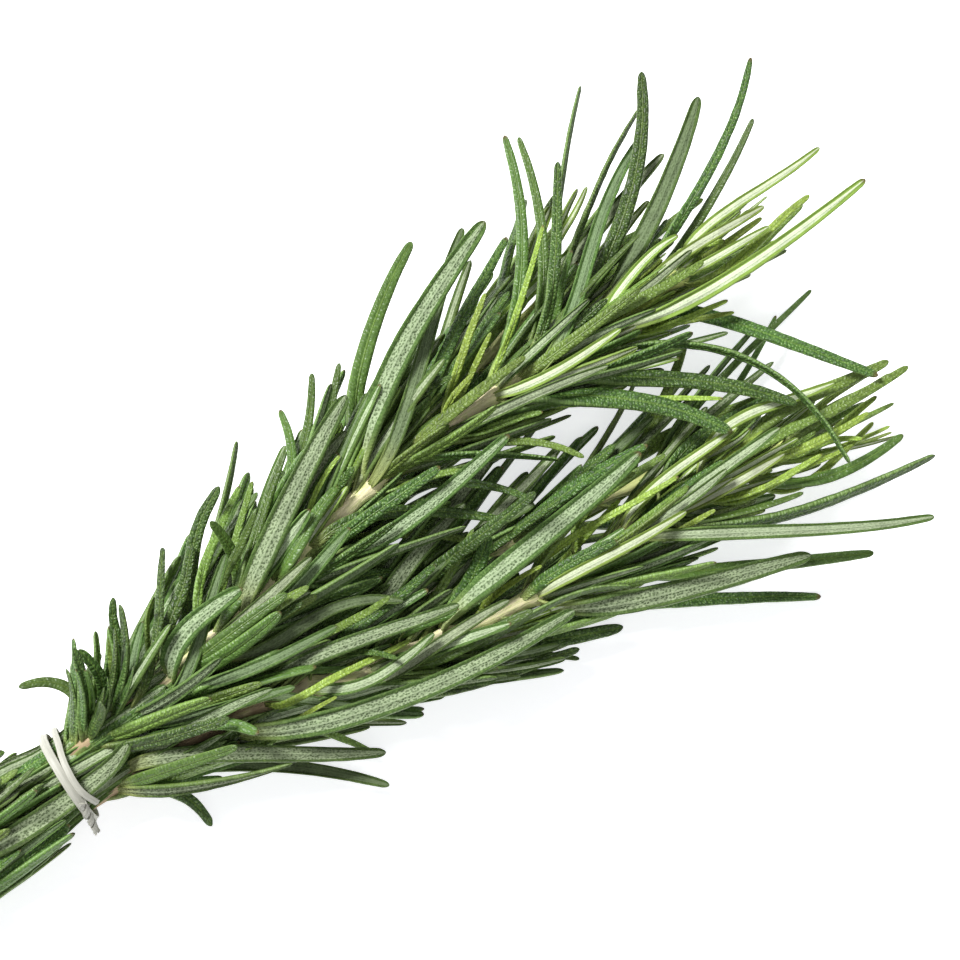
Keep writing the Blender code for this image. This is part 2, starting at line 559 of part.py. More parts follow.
    def push(self, weight_home):
        """One round: separate, keep the pieces' lengths, stay on the surface, in the tie and off the collar."""
        (i, j, s, t, away, short), (ri, _, rs, _, raway, rshort), widths, normals = self.overlaps()
        pieces = self.lines.shape[1] - 1
        total = np.zeros_like(self.lines)
        count = np.full(self.lines.shape[:2], 1e-9)
        for piece, share, shift in ((i, s, away), (j, t, -away)):
            move = np.maximum(short, 0)[:, None] * shift * 0.5
            self.spread(total, count, piece, share, move, short > 0, pieces)
        move = np.maximum(rshort, 0)[:, None] * raway
        self.spread(total, count, ri, rs, move, rshort > 0, pieces)
        step = total / np.maximum(count, 1.0)[..., None]
        self.lines[:, 1:] += PUSH * step[:, 1:] + weight_home * (self.home - self.lines)[:, 1:]
        shift = self.lines - self.home
        bend = (shift[:, 2:] + shift[:, :-2]) / 2 - shift[:, 1:-1]
        self.lines[:, 1:-1] += STIFFNESS * bend
        for _ in range(LENGTH_ROUNDS):
            for k in range(pieces):
                gap = self.lines[:, k + 1] - self.lines[:, k]
                extra = (1 - self.spans[:, k] / np.maximum(np.linalg.norm(gap, axis=1), 1e-9))[:, None] * gap
                if k == 0:
                    self.lines[:, 1] -= extra
                else:
                    self.lines[:, k] += 0.5 * extra
                    self.lines[:, k + 1] -= 0.5 * extra
        lift = self.half_width * np.abs(widths[..., 2]) + self.half_thick * np.abs(normals[..., 2])
        self.lines[:, 1:, 2] = np.maximum(self.lines[:, 1:, 2], lift[:, 1:])
        self.hold_in_tie(widths, normals)
        first = self.lines[:, 1] - self.lines[:, 0]
        sunk = LEAST_RISE * self.spans[:, 0] - np.sum(first * self.radial, axis=1)
        self.lines[:, 1] += np.maximum(sunk, 0)[:, None] * self.radial

    def spread(self, total, count, piece, share, move, active, pieces):
        """Adds a piece's move to its two ends, by how near each is."""
        leaf, first = piece // pieces, piece % pieces
        for end, weight in ((first, 1 - share), (first + 1, share)):
            part = END_SHARE + (1 - END_SHARE) * weight
            np.add.at(total, (leaf, end), move * part[:, None])
            np.add.at(count, (leaf, end), active * part)

    def hold_in_tie(self, widths, normals):
        """Keeps the leaves that start below the tie inside it where they pass through."""
        starts_below = self.home[:, 0, 0] < 0
        inside = (np.abs(self.lines[..., 0]) < TIE_REACH) & starts_below[:, None]
        out_y = self.half_width * np.abs(widths[..., 1]) + self.half_thick * np.abs(normals[..., 1]) + GAP
        out_z = self.half_width * np.abs(widths[..., 2]) + self.half_thick * np.abs(normals[..., 2]) + GAP
        y = self.lines[..., 1] - TIE_MIDDLE[1]
        z = self.lines[..., 2] - TIE_MIDDLE[2]
        size = np.hypot(y / (TIE_INSIDE[0] - out_y), z / (TIE_INSIDE[1] - out_z))
        shrink = np.where(inside & (size > 1), 1 / np.maximum(size, 1e-9), 1.0)
        shrink[:, 0] = 1.0
        self.lines[..., 1] = TIE_MIDDLE[1] + y * shrink
        self.lines[..., 2] = TIE_MIDDLE[2] + z * shrink

    def settle(self):
        """Runs the rounds, then thins or drops what still runs into something."""
        for number in range(SETTLE_ROUNDS):
            if number % PAIRS_EVERY == 0:
                self.find_pairs()
            self.push(PULL_HOME * max(0.0, 1 - PULL_FADE * number / SETTLE_ROUNDS))
        pieces = self.lines.shape[1] - 1
        for _ in range(THIN_ROUNDS):
            self.find_pairs()
            (i, j, _, _, _, short), (ri, _, _, _, _, rshort), _, _ = self.overlaps()
            tight = np.zeros(len(self.lines) * pieces)
            for piece, missing in ((i, short), (j, short), (ri, rshort * 2)):
                np.maximum.at(tight, piece, missing)
            tight = tight.reshape(-1, pieces)
            ends = np.maximum(np.pad(tight, ((0, 0), (1, 0))), np.pad(tight, ((0, 0), (0, 1))))
            thinner = np.clip(1 - THIN_RATE * np.maximum(ends - THIN_FROM, 0), THIN_LEAST, 1)
            self.half_width *= thinner
            self.half_thick *= np.sqrt(thinner)
        (i, j, _, _, _, short), (ri, _, _, _, _, rshort), _, _ = self.overlaps()
        dropped = set()
        for p, q, missing in sorted(zip(i, j, short), key=lambda row: -row[2]):
            if missing > GAP - CLEAR_ENOUGH and not {p // pieces, q // pieces} & dropped:
                pick = [n for n in (p // pieces, q // pieces) if not self.leaves[n].placed]
                dropped.add(pick[-1] if pick else q // pieces)
        dropped |= {p // pieces for p, missing in zip(ri, rshort) if missing > GAP - CLEAR_ENOUGH}
        return dropped


def material(name, colour, roughness):
    """A plain finish for one kind of piece."""
    made = bpy.data.materials.new(name)
    made.use_nodes = True
    shader = made.node_tree.nodes["Principled BSDF"]
    shader.inputs["Base Color"].default_value = colour
    shader.inputs["Roughness"].default_value = roughness
    shader.inputs["Metallic"].default_value = 0.0
    return made


def add_object(name, shape, finish):
    """Turns a finished bmesh into the object of one node."""
    bmesh.ops.recalc_face_normals(shape, faces=shape.faces)
    mesh = bpy.data.meshes.new(name)
    shape.to_mesh(mesh)
    shape.free()
    mesh.materials.append(finish)
    thing = bpy.data.objects.new(name, mesh)
    bpy.context.collection.objects.link(thing)
    return thing


def bridge(shape, first, second):
    """Quads between two rings of as many vertices."""
    for k in range(len(first)):
        n = (k + 1) % len(first)
        shape.faces.new((first[k], first[n], second[n], second[k]))


def ring(shape, middle, side, up, radius, sides, turn=0.0):
    """A regular ring of vertices round a middle point, in millimetres."""
    angles = [turn + k * math.tau / sides for k in range(sides)]
    return [
        shape.verts.new((middle + radius * (up * math.cos(a) + side * math.sin(a))) * MM) for a in angles
    ]


def build_stem(sprig, finish):
    """A tapering stem from its cut end to just past its last joint."""
    shape = bmesh.new()
    end = sprig.joints[-1] + STEM_PAST_LAST_JOINT
    stops = np.linspace(CUT_END_X, end, round((end - CUT_END_X) / STEM_STEP) + 1)
    rings = []
    for x in stops:
        middle, _, left, up = joint_frame(sprig, x)
        rings.append(ring(shape, middle, left, up, stem_radius(sprig, x), STEM_SIDES))
    for first, second in zip(rings, rings[1:]):
        bridge(shape, first, second)
    shape.faces.new(rings[0])
    shape.faces.new(rings[-1])
    return add_object(f"{sprig.name}_stem", shape, finish)


def leaf_ring(shape, middle, width_way, normal, half_width, half_thick):
    """The four corners of a leaf's section: narrower on its upper face, wider across its underside."""
    upper = width_way * half_width * LEAF_BACK_WIDTH
    lower = width_way * half_width
    rise = normal * half_thick
    corners = (-lower - rise, lower - rise, upper + rise, -upper + rise)
    return [shape.verts.new((middle + corner) * MM) for corner in corners]


def build_whorl(sprig, joint, spin, members, finish):
    """A collar round the stem, with each leaf drawn out of one of its faces."""
    shape = bmesh.new()
    x = sprig.joints[joint - 1]
    middle, along, left, up = joint_frame(sprig, x)
    corner = 1 / math.cos(math.pi / COLLAR_SIDES)
    outside = collar_apothem(sprig, x) * corner
    inside = (stem_radius(sprig, x) + GAP) * corner
    half = along * COLLAR_HEIGHT / 2
    turn = spin - math.pi / COLLAR_SIDES
    low_in, high_in, low_out, high_out = (
        ring(shape, middle + shift, left, up, radius, COLLAR_SIDES, turn)
        for radius in (inside, outside) for shift in (-half, half)
    )
    bridge(shape, low_in, high_in)
    bridge(shape, low_in, low_out)
    bridge(shape, high_in, high_out)
    leaf_on = {member[0]: member[1:] for member in members}
    for face in range(COLLAR_SIDES):
        n = (face + 1) % COLLAR_SIDES
        loop = [low_out[n], low_out[face], high_out[face], high_out[n]]
        if face in leaf_on:
            line, width_way, normal, half_width, half_thick = leaf_on[face]
            for k in range(1, len(line)):
                following = leaf_ring(shape, line[k], width_way[k], normal[k], half_width[k], half_thick[k])
                bridge(shape, loop, following)
                loop = following
        shape.faces.new(loop)
    return add_object(f"{sprig.name}_whorl_{joint:02d}", shape, finish)


def build_tie(finish):
    """The band round the bunch, its twisted end at the right and its free end beside it."""
    shape = bmesh.new()
    middle = np.array(TIE_MIDDLE)
    half = np.array((TIE_BAND / 2, 0, 0))
    rings = []
    for k in range(TIE_SIDES):
        a = math.tau * k / TIE_SIDES
        point = np.array((0, math.cos(a) * TIE_INSIDE[0], math.sin(a) * TIE_INSIDE[1]))
        outward = unit(np.array((0, math.cos(a) / TIE_INSIDE[0], math.sin(a) / TIE_INSIDE[1])))
        inner, outer = middle + point, middle + point + outward * TIE_THICKNESS
        corners = (inner - half, inner + half, outer + half, outer - half)
        rings.append([shape.verts.new(c * MM) for c in corners])
    knob_at = round(TIE_SIDES * TIE_KNOB_PLACE)
    tail_at = round(TIE_SIDES * TIE_TAIL_PLACE)
    for k in range(TIE_SIDES):
        first, second = rings[k], rings[(k + 1) % TIE_SIDES]
        for c in range(4):
            n = (c + 1) % 4
            loop = [first[c], first[n], second[n], second[c]]
            if k == knob_at and c == 2:
                start = np.mean([np.array(v.co) for v in loop], axis=0) / MM
                for x, y, z, radius in TIE_KNOB:
                    spot = start + np.array((x, y, z))
                    side = np.array((radius, 0, 0))
                    rise = np.array((0, TIE_KNOB_SLANT * radius, radius))
                    corners = (side + rise, -side + rise, -side - rise, side - rise)
                    following = [shape.verts.new((spot + corner) * MM) for corner in corners]
                    bridge(shape, loop, following)
                    loop = following
            if k == tail_at and c == 1:
                corners = [np.array(v.co) / MM for v in loop]
                for shift in TIE_TAIL:
                    following = [shape.verts.new((p + np.array(shift)) * MM) for p in corners]
                    bridge(shape, loop, following)
                    loop = following
            shape.faces.new(loop)
    return add_object("twist_tie", shape, finish)


def centre_part(things):
    """Moves every mesh so that the origin is under the middle of the whole part's box."""
    points = np.array([v.co for thing in things for v in thing.data.vertices])
    low, high = points.min(axis=0), points.max(axis=0)
    shift = ((low[0] + high[0]) / 2, (low[1] + high[1]) / 2, low[2])
    for thing in things:
        for vertex in thing.data.vertices:
            vertex.co = [c - s for c, s in zip(vertex.co, shift)]


def main():
    """Builds every node of the bunch."""
    for thing in list(bpy.data.objects):
        bpy.data.objects.remove(thing)
    stem_finish = material("stem_bark", STEM_COLOUR, 0.75)
    leaf_finish = material("leaf_skin", LEAF_COLOUR, 0.55)
    tie_finish = material("tie_paper", TIE_COLOUR, 0.6)
    leaves, spins = grow_leaves()
    settler = Settler(leaves)
    dropped = settler.settle()
    _, widths, normals = leaf_frames(settler.lines, leaves)
    things = [build_stem(sprig, stem_finish) for sprig in SPRIGS]
    for sprig in SPRIGS:
        for joint in range(1, len(sprig.joints) + 1):
            here = [
                n for n, leaf in enumerate(leaves)
                if leaf.sprig is sprig and leaf.joint == joint and n not in dropped
            ]
            members = [
                (leaves[n].face, settler.lines[n], widths[n], normals[n], settler.half_width[n],
                 settler.half_thick[n])
                for n in here
            ]
            things.append(build_whorl(sprig, joint, spins[sprig.name, joint], members, leaf_finish))
    things.append(build_tie(tie_finish))
    centre_part(things)
    print(f"{len(things)} pieces, {len(leaves) - len(dropped)} leaves, {len(dropped)} left out")


main()
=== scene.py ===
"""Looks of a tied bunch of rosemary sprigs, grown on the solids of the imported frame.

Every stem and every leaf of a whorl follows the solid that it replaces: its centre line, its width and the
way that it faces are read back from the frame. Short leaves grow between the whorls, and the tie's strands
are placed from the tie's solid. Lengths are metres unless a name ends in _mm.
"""

import logging
import math
from collections.abc import Iterable, Sequence
from dataclasses import dataclass, field
from enum import Enum
from itertools import permutations
from typing import ClassVar, NamedTuple

import bpy
import numpy as np
from bpy.types import Material, Mesh, Node, NodeSocket, NodeTree, Object
from mathutils import Matrix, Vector
from mathutils.kdtree import KDTree


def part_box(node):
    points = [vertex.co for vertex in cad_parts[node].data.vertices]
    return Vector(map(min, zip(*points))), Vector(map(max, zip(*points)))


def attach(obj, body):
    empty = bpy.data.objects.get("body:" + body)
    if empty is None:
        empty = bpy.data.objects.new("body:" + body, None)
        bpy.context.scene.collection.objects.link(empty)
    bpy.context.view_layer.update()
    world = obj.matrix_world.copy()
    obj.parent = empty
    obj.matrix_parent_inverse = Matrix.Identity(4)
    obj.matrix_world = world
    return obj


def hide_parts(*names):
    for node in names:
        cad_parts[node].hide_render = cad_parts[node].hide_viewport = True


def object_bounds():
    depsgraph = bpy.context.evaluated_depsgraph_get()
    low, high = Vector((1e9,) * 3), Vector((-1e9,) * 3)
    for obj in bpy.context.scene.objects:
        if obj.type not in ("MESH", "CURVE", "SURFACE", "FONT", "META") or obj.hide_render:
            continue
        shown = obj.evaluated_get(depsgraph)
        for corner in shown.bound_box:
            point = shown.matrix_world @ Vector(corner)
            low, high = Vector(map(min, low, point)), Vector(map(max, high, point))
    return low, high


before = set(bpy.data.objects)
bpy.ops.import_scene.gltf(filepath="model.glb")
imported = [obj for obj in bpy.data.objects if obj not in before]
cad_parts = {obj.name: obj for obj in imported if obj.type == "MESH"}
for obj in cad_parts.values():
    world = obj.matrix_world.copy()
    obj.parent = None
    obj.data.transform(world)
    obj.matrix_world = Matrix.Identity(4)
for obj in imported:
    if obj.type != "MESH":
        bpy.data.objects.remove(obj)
CAD_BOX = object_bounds()

MM = 0.001
LOG = logging.getLogger("rosemary")
Array = np.ndarray
Colour = tuple[float, float, float]
Span = tuple[float, float]
Rows = tuple[Array, Array, Array]

# The plan of the bunch, in millimetres from the middle of the tie: where each stem's leaf joints are
JOINTS: dict[str, tuple[float, ...]] = {
    "sprig_a": (-15, 4, 10, 15, 20, 25, 30, 35, 44, 50, 55, 61, 66, 71, 76, 81, 86),
    "sprig_b": (-14, 6, 17, 22, 27, 32, 37, 42, 53, 59, 65, 70, 75, 80, 85),
    "sprig_c": (-11, 12, 20, 28, 36, 44, 52, 60, 67, 74),
    "sprig_d": (-9, 20, 29, 38, 47, 55, 62, 69, 75),
}
TIE_MIDDLE_MM = (0.0, 1.0, 5.4)
TIE_INSIDE_MM = (5.1, 4.75)
TIE_BAND_MM = 2.3
TIE_THICKNESS_MM = 0.45


class Skin(NamedTuple):
    """What a leaf shows, each from 0 to 1, and whether its upper face is the one seen from above."""

    age: float
    pits: float
    wrinkles: float
    paleness: float
    width: float
    upper: bool


class Look(Enum):
    """The kinds of leaf."""

    DARK = Skin(1.00, 0.9, 1.0, 0.7, 0.84, True)
    SMOOTH = Skin(0.86, 0.6, 0.45, 0.7, 0.72, True)
    DOTTED = Skin(0.94, 1.0, 0.7, 0.86, 0.95, False)
    GREY = Skin(0.84, 0.55, 0.4, 0.15, 0.85, False)
    RIBBED = Skin(0.72, 0.5, 0.5, 1.0, 0.72, False)
    FRESH = Skin(0.60, 0.5, 0.7, 0.8, 0.66, True)
    TENDER = Skin(0.38, 0.25, 0.4, 1.0, 0.66, False)
    YOUNG = Skin(0.28, 0.2, 0.6, 1.0, 0.56, True)


DARK, SMOOTH, DOTTED, GREY, RIBBED, FRESH, TENDER, YOUNG = Look
OLD = (DARK,) * 3 + (SMOOTH,) * 2 + (GREY, DOTTED, DOTTED, FRESH) + (RIBBED,) * 3
MIDDLING = (DARK, SMOOTH, FRESH, FRESH, RIBBED, RIBBED, TENDER, DOTTED)
OUTER = (DARK, SMOOTH, SMOOTH, DARK, FRESH)
TIP = (TENDER, TENDER, TENDER, FRESH, FRESH, YOUNG)

# Leaves whose look differs from the rule for their place, by joint: (tip x mm, tip y mm, look)
LOOKS: dict[str, dict[int, tuple[tuple[float, float, Look], ...]]] = {
    "sprig_a": {
        3: ((28.0, 9.0, GREY), (32.0, 17.0, DARK)),
        4: ((27.6, 4.0, DOTTED), (33.0, -2.5, GREY)),
        5: ((40.6, -5.0, GREY),),
        6: ((27.3, 13.2, SMOOTH), (47.0, 17.2, DOTTED)),
        8: ((42.0, 13.4, YOUNG), (59.8, 4.0, DOTTED)),
        9: ((71.0, 25.6, DOTTED), (69.5, 28.0, GREY), (64.8, 31.0, SMOOTH)),
        11: ((66.3, 18.8, YOUNG), (64.5, 15.0, YOUNG), (60.2, 11.9, YOUNG), (64.2, 4.5, FRESH)),
        12: ((76.0, 21.2, YOUNG), (82.0, -4.5, YOUNG), (80.0, -9.0, DARK), (79.3, 34.2, SMOOTH)),
        13: (
            (92.5, 26.8, GREY), (88.5, -10.0, DARK), (81.5, 27.0, DARK), (80.0, 32.4, SMOOTH),
            (89.0, 33.4, SMOOTH),
        ),
        14: ((95.6, 31.0, DARK),),
        15: (
            (99.6, 25.3, GREY), (88.3, 12.2, TENDER), (109.4, 6.8, TENDER), (88.6, 4.0, YOUNG),
            (88.8, 2.6, YOUNG), (97.5, -12.5, DARK),
        ),
        16: ((106.8, 25.5, DARK), (103.0, 19.6, SMOOTH), (102.5, 8.8, FRESH)),
        17: ((107.3, 12.7, TENDER), (92.5, 10.8, YOUNG), (98.0, 10.0, YOUNG), (97.0, 7.0, TENDER)),
    },
    "sprig_b": {
        1: ((7.6, 1.4, DOTTED),),
        2: ((29.9, -16.0, DOTTED), (28.4, -18.8, GREY)),
        3: ((56.0, -14.0, DOTTED), (28.8, -7.5, YOUNG), (36.0, -12.8, GREY)),
        4: ((38.7, -7.2, YOUNG), (45.2, -9.6, DOTTED)),
        6: ((52.2, 0.3, DOTTED),),
        8: ((52.0, -3.0, DARK), (70.8, -5.0, DOTTED), (55.0, -9.2, YOUNG)),
        9: ((80.9, -24.0, DOTTED), (80.2, -27.7, DARK), (72.6, -9.4, YOUNG), (66.5, -7.2, YOUNG)),
        10: ((74.0, -7.8, FRESH), (87.4, -27.2, SMOOTH)),
        11: ((80.2, -9.6, YOUNG), (74.0, -15.2, YOUNG), (94.5, -28.2, RIBBED)),
        12: ((98.4, -22.7, DARK), (88.0, -8.0, DARK)),
        13: ((94.6, -10.2, TENDER), (87.6, -15.8, YOUNG), (82.2, -14.8, YOUNG)),
        14: ((100.6, -12.4, FRESH), (96.0, -15.8, YOUNG), (97.6, -18.6, SMOOTH), (91.5, -16.8, YOUNG)),
        15: ((97.0, -13.5, YOUNG), (93.0, -14.5, YOUNG), (95.0, -11.5, TENDER), (101.5, -13.0, FRESH)),
    },
}


@dataclass(frozen=True)
class Stretch:
    """Short leaves that grow between the whorls on one stretch of a sprig.

    Places and sizes are millimetres. Leans are degrees from the stem, at the leaf's base and its tip. Turn
    is the side that they grow on: 0 on top and 90 on the left.
    """

    sprig: str
    start: float
    end: float
    count: int
    length: Span
    lean: Span
    tip_lean: Span
    half_width: Span
    looks: tuple[Look, ...]
    turn: Span = (-180.0, 180.0)


STRETCHES = (
    Stretch("sprig_a", -27, -5, 30, (10, 16), (4, 16), (0, 12), (0.5, 0.85), OLD),
    Stretch("sprig_b", -27, -5, 28, (10, 16), (4, 12), (0, 10), (0.5, 0.85), OLD),
    Stretch("sprig_c", -27, -5, 20, (10, 15), (4, 12), (0, 10), (0.5, 0.85), OLD),
    Stretch("sprig_d", -26, -5, 20, (10, 15), (4, 12), (0, 10), (0.5, 0.85), OLD),
    Stretch("sprig_a", -3, 8, 16, (8, 13), (25, 45), (50, 85), (0.5, 0.75), OLD[:4], (10, 110)),
    Stretch("sprig_a", -22, 3, 20, (12, 18), (0, 5), (-3, 4), (0.7, 1.0), OLD, (-70, 70)),
    Stretch("sprig_b", -22, 3, 20, (12, 18), (0, 5), (-3, 4), (0.7, 1.0), OLD, (-110, 60)),
    Stretch("sprig_b", 2, 12, 16, (10, 16), (4, 16), (2, 14), (0.65, 0.95), OLD, (-160, 20)),
    Stretch("sprig_c", 2, 12, 16, (10, 16), (4, 20), (2, 18), (0.6, 0.9), OLD, (-180, 0)),
    Stretch("sprig_d", 2, 12, 16, (10, 16), (4, 20), (2, 18), (0.45, 0.75), OLD),
    Stretch("sprig_a", 3, 34, 54, (13, 23), (10, 32), (4, 28), (0.7, 1.05), OLD),
    Stretch("sprig_b", 3, 42, 62, (13, 23), (10, 32), (4, 28), (0.7, 1.05), OLD),
    Stretch("sprig_a", 30, 38, 14, (8, 12), (4, 14), (2, 12), (0.4, 0.65), MIDDLING, (-130, 130)),
    Stretch("sprig_a", 44, 56, 22, (8, 13), (4, 14), (2, 12), (0.4, 0.65), MIDDLING, (-130, 130)),
    Stretch("sprig_b", 38, 48, 16, (8, 12), (4, 14), (2, 12), (0.4, 0.65), MIDDLING, (-130, 130)),
    Stretch("sprig_a", 26, 50, 26, (14, 22), (14, 28), (4, 22), (0.6, 0.95), OLD, (40, 120)),
    Stretch("sprig_c", 4, 38, 40, (12, 21), (14, 34), (6, 30), (0.7, 1.0), OLD),
    Stretch("sprig_d", 5, 40, 40, (12, 21), (14, 34), (6, 30), (0.7, 1.0), OLD),
    Stretch("sprig_a", 42, 70, 60, (11, 22), (10, 30), (3, 22), (0.5, 0.8), MIDDLING),
    Stretch("sprig_b", 50, 72, 52, (10, 20), (10, 30), (3, 22), (0.5, 0.8), MIDDLING),
    Stretch("sprig_c", 36, 74, 34, (12, 22), (14, 34), (6, 28), (0.65, 0.95), MIDDLING),
    Stretch("sprig_d", 38, 75, 24, (11, 20), (14, 34), (6, 28), (0.6, 0.9), OLD),
    Stretch("sprig_a", 66, 87, 50, (9, 19), (5, 18), (1, 11), (0.36, 0.52), TIP),
    Stretch("sprig_b", 68, 86, 50, (7, 16), (5, 20), (1, 12), (0.36, 0.52), TIP),
)
# Bare stretches of stem that stay in sight from above: (sprig, start mm, end mm)
BARE = (("sprig_a", 39.0, 41.5), ("sprig_a", 57.0, 59.5), ("sprig_b", 47.0, 50.0), ("sprig_b", 10.0, 13.5))


def unit(v: Array) -> Array:
    """The vectors in v, each at length 1."""
    return v / np.maximum(np.linalg.norm(v, axis=-1, keepdims=True), 1e-12)


def square_to(v: Array, d: Array) -> Array:
    """The part of v square to the unit direction d, at length 1."""
    return unit(v - np.sum(v * d, axis=-1, keepdims=True) * d)


def smooth_through(stops: Array, values: Array, at: Array) -> Array:
    """A smooth line through values.

    Args:
        stops: where each value stands, rising.
        values: a row for each stop.
        at: where the line is wanted.

    Returns:
        A row for each place in at.
    """
    slopes = np.gradient(values, stops, axis=0)
    i = np.clip(np.searchsorted(stops, at) - 1, 0, len(stops) - 2)
    run = stops[i + 1] - stops[i]
    u = (at - stops[i]) / run
    column = (slice(None),) + (None,) * (values.ndim - 1)
    u, run = u[column], run[column]
    rise = u * u * (3 - 2 * u)
    leave, arrive = u * (1 - u) ** 2, u * u * (u - 1)
    return (1 - rise) * values[i] + rise * values[i + 1] + run * (leave * slopes[i] + arrive * slopes[i + 1])


def tree_of(points: Iterable[Array]) -> KDTree:
    """Points that can be searched for the nearest one.

    Args:
        points: the points.

    Returns:
        The tree that holds them.
    """
    rows = list(points)
    tree = KDTree(len(rows))
    for number, point in enumerate(rows):
        tree.insert(point, number)
    tree.balance()
    return tree


def nearest(tree: KDTree, points: Array) -> float:
    """The smallest distance from any of the points to the tree."""
    return min(tree.find(point)[2] for point in points)


def plan_shift() -> Array:
    """Finds the plan's origin, which is the middle of the tie at the height of the surface.

    Returns:
        Where it is in the frame.
    """
    low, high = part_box("twist_tie")
    reach = (np.array(TIE_MIDDLE_MM[1:]) + TIE_INSIDE_MM + TIE_THICKNESS_MM) * MM
    return np.array((low.x + TIE_BAND_MM * MM / 2, high.y - reach[0], high.z - reach[1]))


PLAN = plan_shift()


def linked(name: str, data: bpy.types.ID) -> Object:
    """A new object in the scene, at the origin.

    Args:
        name: its name.
        data: its mesh, camera or lamp.

    Returns:
        The object.
    """
    made = bpy.data.objects.new(name, data)
    bpy.context.collection.objects.link(made)
    return made


# Reading the frame


class Solid:
    """A solid of the frame as corners and the edges between them."""

    def __init__(self, node: str) -> None:
        """Merges the loose triangles of a node of the frame.

        Args:
            node: the node's name.
        """
        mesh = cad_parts[node].data
        spots = np.zeros(len(mesh.vertices) * 3)
        mesh.vertices.foreach_get("co", spots)
        self.corners, which = np.unique(spots.reshape(-1, 3).round(7), axis=0, return_inverse=True)
        which = which.reshape(-1)
        self.beside: list[set[int]] = [set() for _ in self.corners]
        for upper_edge_highlight in mesh.edges:
            a, b = (int(which[v]) for v in upper_edge_highlight.vertices)
            if a != b:
                self.beside[a].add(b)
                self.beside[b].add(a)

    def layers(self, first: Iterable[int]) -> list[set[int]]:
        """The corners by how many edges they are from the first ones.

        Args:
            first: the corners of the first layer.

        Returns:
            The layers, the first one included.
        """
        found = [set(first)]
        seen = set(found[0])
        while found[-1]:
            following = {n for c in found[-1] for n in self.beside[c]} - seen
            seen |= following
            found.append(following)
        return found[:-1]

    def group(self, start: int, within: set[int]) -> list[int]:
        """The corners of one layer that are joined within it.

        Args:
            start: a corner of the layer.
            within: the layer.

        Returns:
            The start and the corners that it is joined to.
        """
        reached, waiting = {start}, [start]
        while waiting:
            fresh = (self.beside[waiting.pop()] & within) - reached
            reached |= fresh
            waiting.extend(fresh)
        return sorted(reached)

    def beyond(self, section: Iterable[int], layer: set[int]) -> list[int]:
        """The corners of a layer that are joined to a section beside it."""
        return sorted({n for c in section for n in self.beside[c]} & layer)


@dataclass
class StemLine:
    """The centre line and radius of a stem, read from its solid."""

    sprig: str
    points: Array = field(init=False)
    radii: Array = field(init=False)
    SIDES: ClassVar[int] = 8

    def __post_init__(self) -> None:
        """Reads the rings of the solid from its cut end to its tip."""
        solid = Solid(f"{self.sprig}_stem")
        cut_end = np.argsort(solid.corners[:, 0])[: self.SIDES]
        rings = [solid.corners[sorted(layer)] for layer in solid.layers(cut_end)]
        self.points = np.array([ring.mean(axis=0) for ring in rings])
        self.radii = np.array([np.linalg.norm(ring - ring.mean(axis=0), axis=1).mean() for ring in rings])

    def at(self, x: Array) -> Rows:
        """The stem at places along the frame's X axis.

        Args:
            x: one place or several.

        Returns:
            A point, a unit direction and a radius for each place.
        """
        x = np.atleast_1d(np.asarray(x, float))
        step = MM / 2
        point, ahead, behind = (
            smooth_through(self.points[:, 0], self.points, x + s) for s in (0, step, -step)
        )
        return point, unit(ahead - behind), np.interp(x, self.points[:, 0], self.radii)


@dataclass
class LeafLine:
    """One leaf: its centre line from base to tip, how it faces, its half widths and its look."""

    points: Array
    normals: Array
    half_widths: Array
    look: Look
    seed: float
    short: bool = False


def ring_order(ring: Array, model: Array) -> Array:
    """The corners of a ring in the order of the ring beside it.

    Args:
        ring: the corners in any order.
        model: the corners of the ring beside it.

    Returns:
        The corners of the ring, in the order that moves them least.
    """
    ring_shape, model_shape = ring - ring.mean(axis=0), model - model.mean(axis=0)
    best = min(
        permutations(range(len(ring))),
        key=lambda order: float(np.sum((ring_shape[list(order)] - model_shape) ** 2)),
    )
    return ring[list(best)]


def leaf_from_rings(rings: list[Array]) -> Rows:
    """Centre line, upper-face normals and half widths of a leaf.

    A section's two corners that are furthest apart are its underside, as long as it isn't near an end.

    Args:
        rings: the four corners of each section, from base to tip.

    Returns:
        A point, a normal and a half width for each section.
    """
    middle = len(rings) // 2
    ring = rings[middle]
    apart = np.linalg.norm(ring[:, None] - ring[None], axis=2)
    a, b = np.unravel_index(np.argmax(apart), apart.shape)
    ordered = list(rings)
    ordered[middle] = ring[[a, b, *(k for k in range(len(ring)) if k not in (a, b))]]
    for k in range(middle + 1, len(rings)):
        ordered[k] = ring_order(rings[k], ordered[k - 1])
    for k in range(middle - 1, -1, -1):
        ordered[k] = ring_order(rings[k], ordered[k + 1])
    stack = np.array(ordered)
    normals = unit(stack[:, 2:].mean(axis=1) - stack[:, :2].mean(axis=1))
    return stack.mean(axis=1), normals, np.linalg.norm(stack[:, 0] - stack[:, 1], axis=1) / 2


